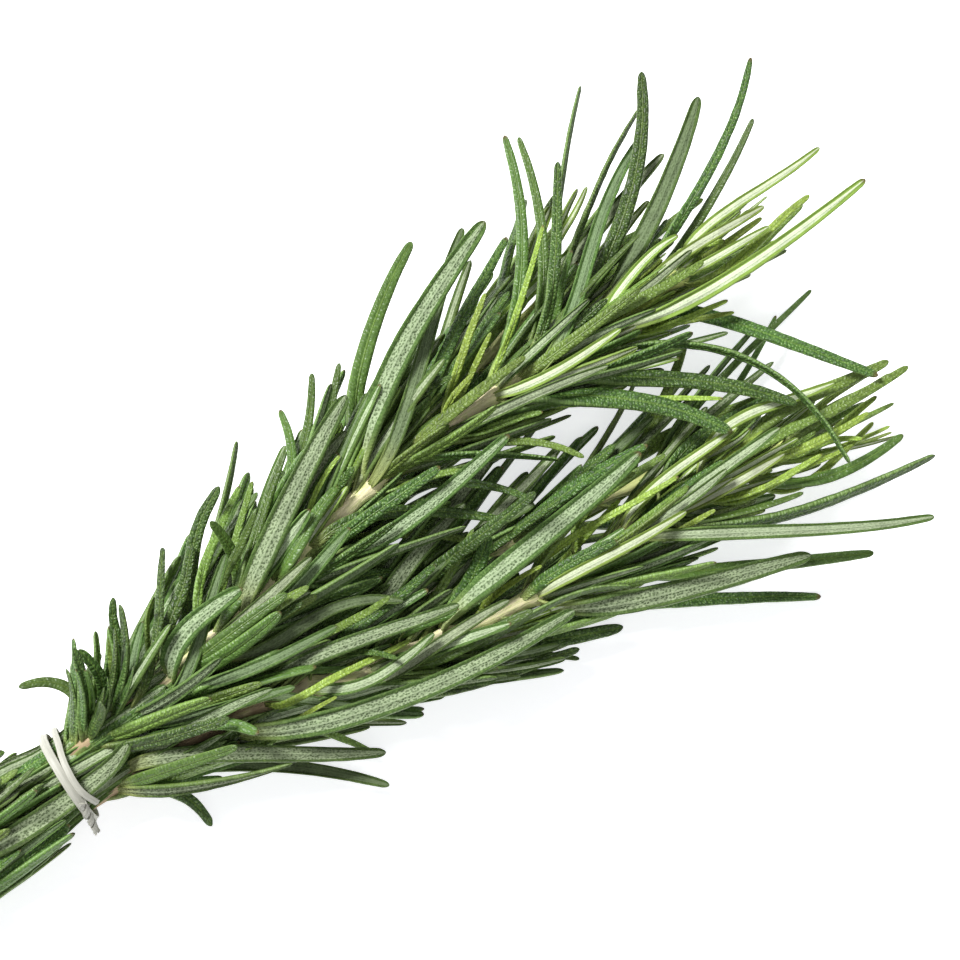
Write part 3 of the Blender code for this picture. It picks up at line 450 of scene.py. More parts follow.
def read_whorl(sprig: str, joint: int, stem: StemLine) -> list[Rows]:
    """The leaves of one whorl of the frame.

    Args:
        sprig: the sprig's name.
        joint: the joint's number, from 1 at the cut end.
        stem: the sprig's stem.

    Returns:
        Centre line, normals and half widths of each leaf.
    """
    bore_corners, ridge_reach = 12, 1.1 * MM
    solid = Solid(f"{sprig}_whorl_{joint:02d}")
    middle, along, _ = (row[0] for row in stem.at(PLAN[0] + JOINTS[sprig][joint - 1] * MM))
    offset = solid.corners - middle
    ahead = offset @ along
    from_axis = np.linalg.norm(offset - ahead[:, None] * along, axis=1)
    bore = np.argsort(np.where(np.abs(ahead) < ridge_reach, from_axis, np.inf))[:bore_corners]
    layers = solid.layers(int(c) for c in bore)
    leaves = []
    waiting = set(layers[2]) if len(layers) > 2 else set()
    while waiting:
        section = solid.group(min(waiting), layers[2])
        waiting -= set(section)
        rings = [solid.corners[solid.beyond(section, layers[1])], solid.corners[section]]
        for layer in layers[3:]:
            section = solid.beyond(section, layer)
            if not section:
                break
            rings.append(solid.corners[section])
        leaves.append(leaf_from_rings(rings))
    return leaves


# Node trees


class Wiring:
    """Adds nodes to a tree and links them, a node in one call."""

    def __init__(self, tree: NodeTree) -> None:
        """Wires into a tree that already exists."""
        self.tree = tree

    def node(self, kind: str, inputs: dict | None = None, **settings: object) -> Node:
        """Adds one node.

        Args:
            kind: the node's type name.
            inputs: input names or numbers to a value, or to the output socket that feeds it.
            **settings: the node's own options.

        Returns:
            The node.
        """
        made = self.tree.nodes.new(kind)
        for name, value in settings.items():
            setattr(made, name, value)
        return self.fill(made, inputs or {})

    def fill(self, node: Node, inputs: dict) -> Node:
        """Feeds several inputs of a node.

        Args:
            node: the node.
            inputs: input names or numbers to a value, or to the output socket that feeds it.

        Returns:
            The node.
        """
        for key, value in inputs.items():
            self.feed(node.inputs[key], value)
        return node

    def feed(self, socket: NodeSocket, value: object) -> None:
        """Links an output to a socket, or sets the socket.

        Args:
            socket: the input socket.
            value: an output socket or a plain value. A colour of three gets an alpha of one.
        """
        if isinstance(value, NodeSocket):
            self.tree.links.new(value, socket)
        elif isinstance(value, tuple) and socket.type == "RGBA" and len(value) == 3:
            socket.default_value = (*value, 1.0)
        else:
            socket.default_value = value

    def math(self, operation: str, *values: object) -> NodeSocket:
        """A Math node's result."""
        return self.node("ShaderNodeMath", dict(enumerate(values)), operation=operation).outputs[0]

    def times(self, first: object, second: object) -> NodeSocket:
        """Two values multiplied."""
        return self.math("MULTIPLY", first, second)

    def over(self, first: object, second: object) -> NodeSocket:
        """One value divided by another."""
        return self.math("DIVIDE", first, second)

    def minus(self, first: object, second: object) -> NodeSocket:
        """One value less another."""
        return self.math("SUBTRACT", first, second)

    def times_plus(self, first: object, second: object, third: object) -> NodeSocket:
        """Two values multiplied, and a third added."""
        return self.math("MULTIPLY_ADD", first, second, third)

    def vector(self, x: object, y: object, z: object) -> NodeSocket:
        """A vector of three values."""
        return self.node("ShaderNodeCombineXYZ", {"X": x, "Y": y, "Z": z}).outputs[0]

    def ramp(
        self, value: object, low: float, high: float, start: float = 0.0, end: float = 1.0
    ) -> NodeSocket:
        """A smooth step: start where value is low, end where it is high."""
        limits = {"Value": value, "From Min": low, "From Max": high, "To Min": start, "To Max": end}
        return self.node("ShaderNodeMapRange", limits, interpolation_type="SMOOTHSTEP").outputs["Result"]

    def mix(self, share: object, first: object, second: object) -> NodeSocket:
        """A mix of two colours."""
        return self.node("ShaderNodeMix", {0: share, 6: first, 7: second}, data_type="RGBA").outputs[2]

    def layered(self, colour: object, *layers: tuple[object, object]) -> NodeSocket:
        """A colour with others laid over it.

        Args:
            colour: the lowest colour.
            *layers: the share and the colour of each layer, from the lowest to the highest.

        Returns:
            The colour that shows.
        """
        for share, above in layers:
            colour = self.mix(share, colour, above)
        return colour

    def noise(self, vector: object, scale: float, detail: float = 2.0, rough: float = 0.5) -> NodeSocket:
        """A noise from 0 to 1."""
        values = {"Vector": vector, "Scale": scale, "Detail": detail, "Roughness": rough}
        return self.node("ShaderNodeTexNoise", values).outputs[0]

    def cells(self, vector: object, randomness: float, dimensions: str = "3D") -> NodeSocket:
        """The distance to the nearest of scattered points, one to each unit of the vector."""
        values = {"Vector": vector, "Scale": 1.0, "Randomness": randomness}
        return self.node("ShaderNodeTexVoronoi", values, voronoi_dimensions=dimensions).outputs["Distance"]

    def stored(self, *names: str) -> list[NodeSocket]:
        """Numbers stored on the mesh."""
        return [self.node("ShaderNodeAttribute", attribute_name=name).outputs["Fac"] for name in names]

    def placed(self, group: NodeTree, **inputs: object) -> list[NodeSocket]:
        """The outputs of a shader group that is placed here and fed by socket names."""
        return list(self.node("ShaderNodeGroup", inputs, node_tree=group).outputs)


class Effects:
    """The shader node groups that the finishes share, each built once."""

    def __init__(self) -> None:
        """Builds every group once."""
        self.grain = self.build_grain()
        self.mottle = self.build_mottle()
        self.pits = self.build_pits()
        self.wrinkles = self.build_wrinkles()

    @staticmethod
    def group(name: str, inputs: dict[str, str], outputs: dict[str, str]) -> tuple[Wiring, dict, Node]:
        """An empty shader node group.

        Args:
            name: the group's name.
            inputs: socket names to their types.
            outputs: socket names to their types.

        Returns:
            Its wiring, its input sockets by name and its output node.
        """
        group = bpy.data.node_groups.new(name, "ShaderNodeTree")
        for way, sockets in (("INPUT", inputs), ("OUTPUT", outputs)):
            for socket, kind in sockets.items():
                group.interface.new_socket(socket, in_out=way, socket_type=f"NodeSocket{kind}")
        w = Wiring(group)
        start = w.node("NodeGroupInput")
        return w, {socket: start.outputs[socket] for socket in inputs}, w.node("NodeGroupOutput")

    def build_grain(self) -> NodeTree:
        """Fine lines drawn out along one direction, for bark, paper and veins.

        Returns:
            The group.
        """
        inputs = dict.fromkeys(("Across", "Along", "Spacing", "Stretch", "Seed"), "Float")
        w, given, end = self.group("grain", inputs, {"Height": "Float"})
        along = w.over(w.over(given["Along"], given["Spacing"]), given["Stretch"])
        at = w.vector(w.over(given["Across"], given["Spacing"]), along, w.times(given["Seed"], 61.0))
        w.feed(end.inputs["Height"], w.noise(at, 1.0, 3.0, 0.6))
        return w.tree

    def build_mottle(self) -> NodeTree:
        """Soft blotches that lighten and darken a colour and shift it from piece to piece.

        Returns:
            The group.
        """
        inputs = {"Color": "Color", "Position": "Vector", "Size": "Float", "Depth": "Float", "Seed": "Float"}
        w, given, end = self.group("mottle", inputs, {"Color": "Color"})
        scaled = w.node("ShaderNodeVectorMath", {0: given["Position"], 1: given["Size"]}, operation="DIVIDE")
        blotch = w.noise(scaled.outputs[0], 1.0)
        piece = w.minus(given["Seed"], 0.5)
        swing = w.times_plus(piece, 0.7, w.minus(blotch, 0.5))
        value = w.times_plus(w.times(swing, given["Depth"]), 2.0, 1.0)
        changes = {"Hue": w.times_plus(piece, 0.02, 0.5), "Value": value, "Color": given["Color"]}
        w.feed(end.inputs["Color"], w.node("ShaderNodeHueSaturation", changes).outputs[0])
        return w.tree

    def build_pits(self) -> NodeTree:
        """Rows of small dark pits on each side of a midrib.

        Returns:
            The group.
        """
        inputs = dict.fromkeys(("Across", "Along", "Spacing", "Seed"), "Float")
        w, given, end = self.group("pits", inputs, {"Mask": "Float"})
        side = w.math("ABSOLUTE", given["Across"])
        left = w.math("GREATER_THAN", given["Across"], 0.0)
        shift = w.times_plus(left, 7.3, w.times(given["Seed"], 29.0))
        along = w.math("ADD", w.over(given["Along"], given["Spacing"]), shift)
        dot = w.ramp(w.cells(w.vector(w.times(side, 4.6), along, 0.0), 0.95, "2D"), 0.52, 0.14)
        band = w.times(w.ramp(side, 0.03, 0.09), w.ramp(side, 0.76, 0.68))
        w.feed(end.inputs["Mask"], w.times(dot, band))
        return w.tree

    def build_wrinkles(self) -> NodeTree:
        """The cross-wise puckers of a leaf's upper face and the groove down its middle.

        Returns:
            The group.
        """
        inputs = dict.fromkeys(("Across", "Along", "Width", "Seed"), "Float")
        w, given, end = self.group("wrinkles", inputs, {"Height": "Float", "Groove": "Float"})
        side = w.math("ABSOLUTE", given["Across"])
        slant = w.times(w.times_plus(side, -0.25, given["Along"]), 3.0)
        across = w.times(w.times(given["Across"], given["Width"]), 2.7)
        distance = w.cells(w.vector(across, slant, w.times(given["Seed"], 43.0)), 0.8)
        w.feed(end.inputs["Height"], w.ramp(distance, 0.75, 0.15))
        w.feed(end.inputs["Groove"], w.ramp(side, 0.0, 0.16, 1.0, 0.0))
        return w.tree


@dataclass(frozen=True)
class Finish:
    """What the finishes share: a roughness, soft blotches of colour and a fine relief."""

    roughness: float
    blotch_mm: float
    blotch_depth: float
    relief: float
    relief_strength: float

    @staticmethod
    def blank(name: str) -> tuple[Material, Wiring, Node]:
        """A new material.

        Args:
            name: its name.

        Returns:
            The material, its wiring and its Principled shader.
        """
        made = bpy.data.materials.new(name)
        made.use_nodes = True
        return made, Wiring(made.node_tree), made.node_tree.nodes["Principled BSDF"]

    def surface(
        self, w: Wiring, shader: Node, mottle: NodeTree, colour: NodeSocket, place: NodeSocket,
        height: NodeSocket, seed: object = 0.5,
    ) -> None:
        """Feeds a shader its blotched colour and its relief.

        Args:
            w: the material's wiring.
            shader: its Principled shader.
            mottle: the shader group of the blotches.
            colour: the colour before its blotches.
            place: where on the piece a point is, in millimetres.
            height: the relief, from 0 to 1.
            seed: sets the blotches of one leaf apart from the next.
        """
        look = {"Color": colour, "Position": place, "Size": self.blotch_mm, "Depth": self.blotch_depth}
        w.feed(shader.inputs["Base Color"], w.placed(mottle, **look, Seed=seed)[0])
        values = {"Strength": self.relief_strength, "Distance": self.relief, "Height": height}
        w.feed(shader.inputs["Normal"], w.node("ShaderNodeBump", values).outputs["Normal"])


@dataclass(frozen=True)
class LeafFinish(Finish):
    """Skin of a leaf: dark and puckered above, grey felt with pits below, green rolled margins, with painted
    highlights and painted crease shade on the upper face.
    """

    roughness: float = 0.46
    crest_gloss: float = 0.1
    blotch_mm: float = 2.2
    blotch_depth: float = 0.32
    relief: float = 0.18 * MM
    relief_strength: float = 0.7
    felt_roughness: float = 0.85
    speck_mm: float = 0.2
    fuzz_mm: float = 0.15
    pit_mm: float = 0.36
    old_upper: Colour = (0.055, 0.115, 0.020)
    mid_upper: Colour = (0.160, 0.250, 0.042)
    young_upper: Colour = (0.31, 0.42, 0.050)
    # Painted highlight colour, laid on the pucker crests, along the upper face's edges and in flecks on the
    # margins
    painted_highlight: Colour = (0.200, 0.305, 0.085)
    # Painted shade colour for the creases between the puckers
    painted_crease_shade: Colour = (0.012, 0.030, 0.004)
    # Pale flecks of the upper face: partly its fine hairs, partly painted sheen
    hair_and_sheen: Colour = (0.42, 0.48, 0.30)
    old_felt: Colour = (0.265, 0.335, 0.190)
    worn_felt: Colour = (0.115, 0.17, 0.075)
    young_felt: Colour = (0.55, 0.61, 0.42)
    pit: Colour = (0.055, 0.092, 0.025)
    old_margin: Colour = (0.050, 0.098, 0.018)
    young_margin: Colour = (0.23, 0.33, 0.048)
    midrib: Colour = (0.42, 0.48, 0.32)
    foot: Colour = (0.36, 0.41, 0.13)
    brown_tip: Colour = (0.10, 0.07, 0.025)
    # Ages from which, and by which, one colour turns into the next
    young_to_mid: Span = (0.0, 0.6)
    mid_to_old: Span = (0.45, 1.0)
    felt_ageing: Span = (0.35, 0.85)
    margin_ageing: Span = (0.1, 0.8)
    # How much of each layer shows, and where on the leaf
    crest_highlight_share: float = 0.7
    crease_shade_share: float = 0.6
    groove_share: float = 0.5
    # Where the painted highlight along the upper face's edges starts, ends and how strong it is
    upper_edge_highlight: tuple[float, ...] = (0.84, 1.0, 0.0, 0.5)
    upper_hair_and_sheen: tuple[float, ...] = (0.6, 0.72, 0.0, 0.24)
    felt_fuzz: tuple[float, ...] = (0.4, 0.7, 0.0, 0.5)
    # Flecks of painted highlight on the rolled margins
    margin_highlight_flecks: tuple[float, ...] = (0.45, 0.65, 0.0, 0.35)
    pit_share: float = 0.85
    rib_shade: float = 0.35
    strip: float = 0.5
    strip_by_age: float = 0.22
    strip_by_seed: float = -0.16
    strip_taper: tuple[float, ...] = (0.78, 1.0, 0.05, 0.35)
    foot_fade: tuple[float, ...] = (0.22, 0.0, 0.0, 0.75)
    dry_tip: Span = (0.975, 1.0)
    dry_seeds: Span = (0.6, 0.8)

    def build(self, effects: Effects) -> Material:
        """Wires the material.

        Args:
            effects: the shader groups that the finishes share.

        Returns:
            The material.
        """
        made, w, shader = self.blank("leaf_skin")
        across, along, reach, under, age = w.stored("across", "along_mm", "reach", "under", "age")
        felt, wrinkle, seed, width, pale = w.stored("felt", "wrinkle", "seed", "width_mm", "pale")
        side, across_mm = w.math("ABSOLUTE", across), w.times(across, width)
        where = {"Across": across, "Along": along, "Seed": seed}
        where_mm = {"Across": across_mm, "Along": along, "Seed": seed}
        speck = w.placed(effects.grain, **where_mm, Spacing=self.speck_mm, Stretch=1.3)[0]
        fuzz = w.placed(effects.grain, **where_mm, Spacing=self.fuzz_mm, Stretch=1.2)[0]
        pucker, groove = w.placed(effects.wrinkles, **where, Width=width)
        pits = w.times(w.placed(effects.pits, **where, Spacing=self.pit_mm)[0], felt)
        pits = w.times(pits, w.ramp(speck, 0.3, 0.6))

        # Painted highlights on the tops of the upper face's puckers
        crest_highlights = w.times(w.ramp(pucker, 0.55, 1.0), w.ramp(speck, 0.4, 0.62))
        upper = w.layered(
            self.young_upper,
            (w.ramp(age, *self.young_to_mid), self.mid_upper),
            (w.ramp(age, *self.mid_to_old), self.old_upper),
            (w.times(crest_highlights, w.times(wrinkle, self.crest_highlight_share)), self.painted_highlight),
            # Painted shade in the creases between the puckers
            (w.times(w.ramp(pucker, 0.3, 0.0), w.times(wrinkle, self.crease_shade_share)), self.painted_crease_shade),
            (w.times(groove, self.groove_share), self.mid_upper),
            # Painted highlight along the upper face's edges
            (w.ramp(side, *self.upper_edge_highlight), self.painted_highlight),
            # Pale flecks: partly fine hairs, partly painted sheen
            (w.ramp(speck, *self.upper_hair_and_sheen), self.hair_and_sheen),
        )
        felt_colour = w.layered(self.young_felt, (w.ramp(age, *self.felt_ageing), self.old_felt))
        margin = w.layered(
            self.young_margin,
            (w.ramp(age, *self.margin_ageing), self.old_margin),
            # Flecks of painted highlight on the rolled margins
            (w.ramp(speck, *self.margin_highlight_flecks), self.painted_highlight),
        )
        beside_rib = w.times(w.ramp(side, 0.09, 0.12), w.ramp(side, 0.2, 0.15))
        strip = w.times_plus(seed, self.strip_by_seed, w.times_plus(age, self.strip_by_age, self.strip))
        strip = w.minus(strip, w.ramp(reach, *self.strip_taper))
        lower = w.layered(
            self.worn_felt,
            (pale, felt_colour),
            (w.times(w.ramp(fuzz, *self.felt_fuzz), pale), self.midrib),
            (w.times(pits, self.pit_share), self.pit),
            (w.times(beside_rib, self.rib_shade), self.old_margin),
            (w.ramp(w.minus(side, strip), 0.0, 0.08), margin),
        )
        colour = w.layered(
            upper,
            (under, lower),
            (w.ramp(reach, *self.foot_fade), self.foot),
            (w.times(w.ramp(reach, *self.dry_tip), w.ramp(seed, *self.dry_seeds)), self.brown_tip),
        )
        rough_upper = w.times_plus(pucker, -self.crest_gloss, self.roughness)
        more = w.minus(self.felt_roughness, rough_upper)
        w.feed(shader.inputs["Roughness"], w.times_plus(more, under, rough_upper))

        high = w.minus(w.times(pucker, wrinkle), groove)
        low = w.times_plus(pits, -1.0, w.times(fuzz, 0.5))
        height = w.times_plus(w.minus(low, high), under, high)
        place = w.vector(across_mm, along, w.times(seed, 90.0))
        self.surface(w, shader, effects.mottle, colour, place, height, seed)
        shader.inputs["Specular IOR Level"].default_value = 0.4
        return made


@dataclass(frozen=True)
class BarkFinish(Finish):
    """Skin of a stem: cream and pink between young leaves, brown and split where it is woody."""

    roughness: float = 0.72
    blotch_mm: float = 1.4
    blotch_depth: float = 0.14
    relief: float = 0.15 * MM
    relief_strength: float = 0.6
    fibre_mm: float = 0.22
    fibre_stretch: float = 9.0
    streak_share: float = 0.8
    green_mm: Span = (88.0, 104.0)
    pith_edge: Span = (0.28, 0.2)
    bark_edge: Span = (0.86, 0.94)
    green: Colour = (0.60, 0.66, 0.22)
    cream: Colour = (1.0, 0.94, 0.55)
    pink: Colour = (1.0, 0.88, 0.58)
    brown: Colour = (0.36, 0.265, 0.15)
    crack: Colour = (0.07, 0.042, 0.025)
    wood: Colour = (0.66, 0.60, 0.40)
    pith: Colour = (0.80, 0.77, 0.62)

    def build(self, effects: Effects) -> Material:
        """Wires the material.

        Args:
            effects: the shader groups that the finishes share.

        Returns:
            The material.
        """
        made, w, shader = self.blank("stem_bark")
        around, along, woody = w.stored("around_mm", "along_mm", "woody")
        cut, core, seed = w.stored("cut", "core", "seed")
        place = w.vector(around, along, w.times(seed, 50.0))
        lines = {"Spacing": self.fibre_mm, "Stretch": self.fibre_stretch}
        fibre = w.placed(effects.grain, Across=around, Along=along, Seed=seed, **lines)[0]
        patches = w.noise(place, 0.45)
        streaks = w.times(w.ramp(fibre, 0.45, 0.6), w.ramp(patches, 0.6, 0.4))
        splits = w.times(w.ramp(fibre, 0.42, 0.32), w.ramp(woody, 0.2, 0.8, 0.05, 1.0))
        face = w.layered(
            self.wood,
            (w.ramp(core, *self.pith_edge), self.pith),
            (w.ramp(core, *self.bark_edge), self.brown),
        )
        colour = w.layered(
            self.cream,
            (w.ramp(patches, 0.4, 0.65), self.pink),
            (w.times(streaks, self.streak_share), self.green),
            (w.ramp(along, *self.green_mm), self.green),
            (w.ramp(w.times_plus(patches, 0.5, woody), 0.65, 1.0), self.brown),
            (splits, self.crack),
            (cut, face),
        )
        self.surface(w, shader, effects.mottle, colour, place, w.minus(fibre, w.times(splits, 0.7)))
        shader.inputs["Roughness"].default_value = self.roughness
        return made


@dataclass(frozen=True)
class TieFinish(Finish):
    """Coated paper of the twist tie: off-white, ribbed lengthwise, with painted shade in the troughs between
    its ribs.
    """

    roughness: float = 0.5
    blotch_mm: float = 1.1
    blotch_depth: float = 0.06
    relief: float = 0.06 * MM
    relief_strength: float = 0.5
    rib_mm: float = 0.11
    rib_stretch: float = 14.0
    paper: Colour = (0.405, 0.40, 0.345)
    shade: Colour = (0.30, 0.30, 0.25)

    def build(self, effects: Effects) -> Material:
        """Wires the material.

        Args:
            effects: the shader groups that the finishes share.

        Returns:
            The material.
        """
        made, w, shader = self.blank("tie_paper")
        across, along, seed = w.stored("across", "along_mm", "seed")
        where = {"Across": w.times(across, 0.6), "Along": along, "Seed": seed}
        rib = w.placed(effects.grain, **where, Spacing=self.rib_mm, Stretch=self.rib_stretch)[0]
        # Painted shade in the troughs between the paper's ribs
        colour = w.mix(w.ramp(rib, 0.55, 0.35, 0.0, 0.5), self.paper, self.shade)
        self.surface(w, shader, effects.mottle, colour, w.vector(across, along, seed), rib)
        shader.inputs["Roughness"].default_value = self.roughness
        return made


# Sweeping sections along guides with Geometry Nodes


def line_mesh(name: str, lines: Sequence[Array], closed: bool) -> Mesh:
    """A mesh of one run of edges for each line.

    Args:
        name: its name.
        lines: the points of each line.
        closed: whether each line's end is joined to its start.

    Returns:
        The mesh.
    """
    points, edges = [], []
    for line in lines:
        first, count = len(points), len(line)
        points.extend(tuple(p) for p in line)
        edges.extend((first + k, first + k + 1) for k in range(count - 1))
        if closed:
            edges.append((first + count - 1, first))
    mesh = bpy.data.meshes.new(name)
    mesh.from_pydata(points, edges, [])
    return mesh


def store(mesh: Mesh, name: str, values: Array) -> None:
    """Stores a number or a vector at every point of a mesh.

    Args:
        mesh: the mesh.
        name: the attribute's name.
        values: a number or a row of three for each point.
    """
    kind, slot = ("FLOAT_VECTOR", "vector") if values.ndim == 2 else ("FLOAT", "value")
    made = mesh.attributes.new(name, kind, "POINT")
    made.data.foreach_set(slot, values.astype(np.float32).ravel())


class SweepTree:
    """The Geometry Nodes tree that draws a section along guide lines and roughens its upper face."""

    def __init__(self, name: str) -> None:
        """Builds the tree and its named inputs.

        Args:
            name: the tree's name.
        """
        self.tree = bpy.data.node_groups.new(name, "GeometryNodeTree")
        face = self.tree.interface
        face.new_socket("Guides", in_out="INPUT", socket_type="NodeSocketGeometry")
        self.inputs: dict[str, str] = {}
        for socket, kind in (
            ("Section", "Object"), ("Finish", "Material"), ("Pucker Height", "Float"),
            ("Pucker Length", "Float"), ("Fill Ends", "Bool"), ("Seed", "Float"),
        ):
            made = face.new_socket(socket, in_out="INPUT", socket_type=f"NodeSocket{kind}")
            self.inputs[socket] = made.identifier
        face.new_socket("Pieces", in_out="OUTPUT", socket_type="NodeSocketGeometry")
        self.wire()

    def wire(self) -> None:
        """Wires guides to curves, curves to a skin, and the skin to its puckers."""
        w = Wiring(self.tree)
        given, end = w.node("NodeGroupInput").outputs, w.node("NodeGroupOutput")

        def named(name: str, kind: str = "FLOAT") -> NodeSocket:
            """A value stored at the points of the guides or the section."""
            return w.node("GeometryNodeInputNamedAttribute", {"Name": name}, data_type=kind).outputs[0]

        def then(kind: str, inputs: dict, **settings: object) -> NodeSocket:
            """The first output of a Geometry Nodes node."""
            return w.node(f"GeometryNode{kind}", inputs, **settings).outputs[0]

        guides = then("MeshToCurve", {"Mesh": given["Guides"]})
        section = w.node("GeometryNodeObjectInfo", {"Object": given["Section"]}).outputs["Geometry"]
        outline = then("MeshToCurve", {"Mesh": section})
        facing = {"Curve": guides, "Normal": named("facing", "FLOAT_VECTOR")}
        curves = {
            "Curve": then("SetCurveNormal", facing, mode="FREE"), "Profile Curve": outline,
            "Scale": named("half_width"), "Fill Caps": given["Fill Ends"],
        }
        skin = then("CurveToMesh", curves)
        along = w.over(named("along_mm"), given["Pucker Length"])
        across = w.over(w.times(named("across"), named("width_mm")), given["Pucker Length"])
        place = w.vector(w.times(across, 0.7), along, w.math("ADD", named("seed"), given["Seed"]))
        amount = w.times(w.minus(w.noise(place, 1.0, 1.0), 0.5), named("wrinkle"))
        normal = w.node("GeometryNodeInputNormal").outputs[0]
        shift = {0: normal, "Scale": w.times(amount, given["Pucker Height"])}
        offset = w.node("ShaderNodeVectorMath", shift, operation="SCALE").outputs[0]
        rough = then("SetPosition", {"Geometry": skin, "Offset": offset})
        smooth = then("SetShadeSmooth", {"Geometry": rough, "Shade Smooth": True})
        real = then("RealizeInstances", {"Geometry": smooth})
        w.feed(end.inputs[0], then("SetMaterial", {"Geometry": real, "Material": given["Finish"]}))

    def grow(self, name: str, guides: Mesh, values: dict[str, object]) -> Object:
        """Sweeps the section along guides and keeps the result as a plain mesh.

        Args:
            name: the new piece's name.
            guides: runs of edges with the values facing, half_width and the rest at their points.
            values: the tree's inputs by name.

        Returns:
            The piece.
        """
        guide = linked(f"{name}_guides", guides)
        sweep = guide.modifiers.new("sweep", "NODES")
        sweep.node_group = self.tree
        for socket, value in values.items():
            sweep[self.inputs[socket]] = value
        bpy.context.view_layer.update()
        mesh = bpy.data.meshes.new_from_object(guide.evaluated_get(bpy.context.evaluated_depsgraph_get()))
        mesh.name = name
        bpy.data.objects.remove(guide)
        return linked(name, mesh)


# The pieces


@dataclass
class LeafSection:
    """The section of a leaf in half widths: a low crown with a groove, rolled margins, a raised midrib."""

    crown: float = 0.42
    crown_width: float = 0.88
    groove: float = 0.19
    groove_width: float = 0.17
    roll_under: float = 0.40
    valley: float = 0.12
    rib: float = 0.30

    def outline(self) -> list[tuple[float, float, float, float]]:
        """The closed outline.

        Returns:
            The height, the place to the side, the place across the skin and the underside mark of each point.
        """
        upper = []
        for x in (0.93, 0.68, 0.36, 0.14, 0.0, -0.14, -0.36, -0.68, -0.93):
            groove = self.groove * math.exp(-((x / self.groove_width) ** 2))
            upper.append((self.crown * math.sqrt(1 - (self.crown_width * x) ** 2) - groove, x, x, 0.0))
        half = (
            (-0.06, 1.0, 1.0, 0.0), (-self.roll_under, 0.90, 0.88, 1.0),
            (-self.roll_under * 0.85, 0.76, 0.76, 1.0), (-self.valley, 0.67, 0.67, 1.0),
            (-self.valley * 0.8, 0.34, 0.34, 1.0), (-self.rib, 0.1, 0.09, 1.0),
        )
        return upper + [(z, -x, -a, u) for z, x, a, u in half] + list(reversed(half))

    def build(self) -> Object:
        """The outline as an object.

        Returns:
            The object that the sweep reads, which is removed at the end.
        """
        rows = np.array(self.outline())
        outline = np.column_stack([rows[:, :2], np.zeros(len(rows))])
        mesh = line_mesh("leaf_section", [outline], closed=True)
        store(mesh, "across", rows[:, 2])
        store(mesh, "under", rows[:, 3])
        return linked("leaf_section", mesh)


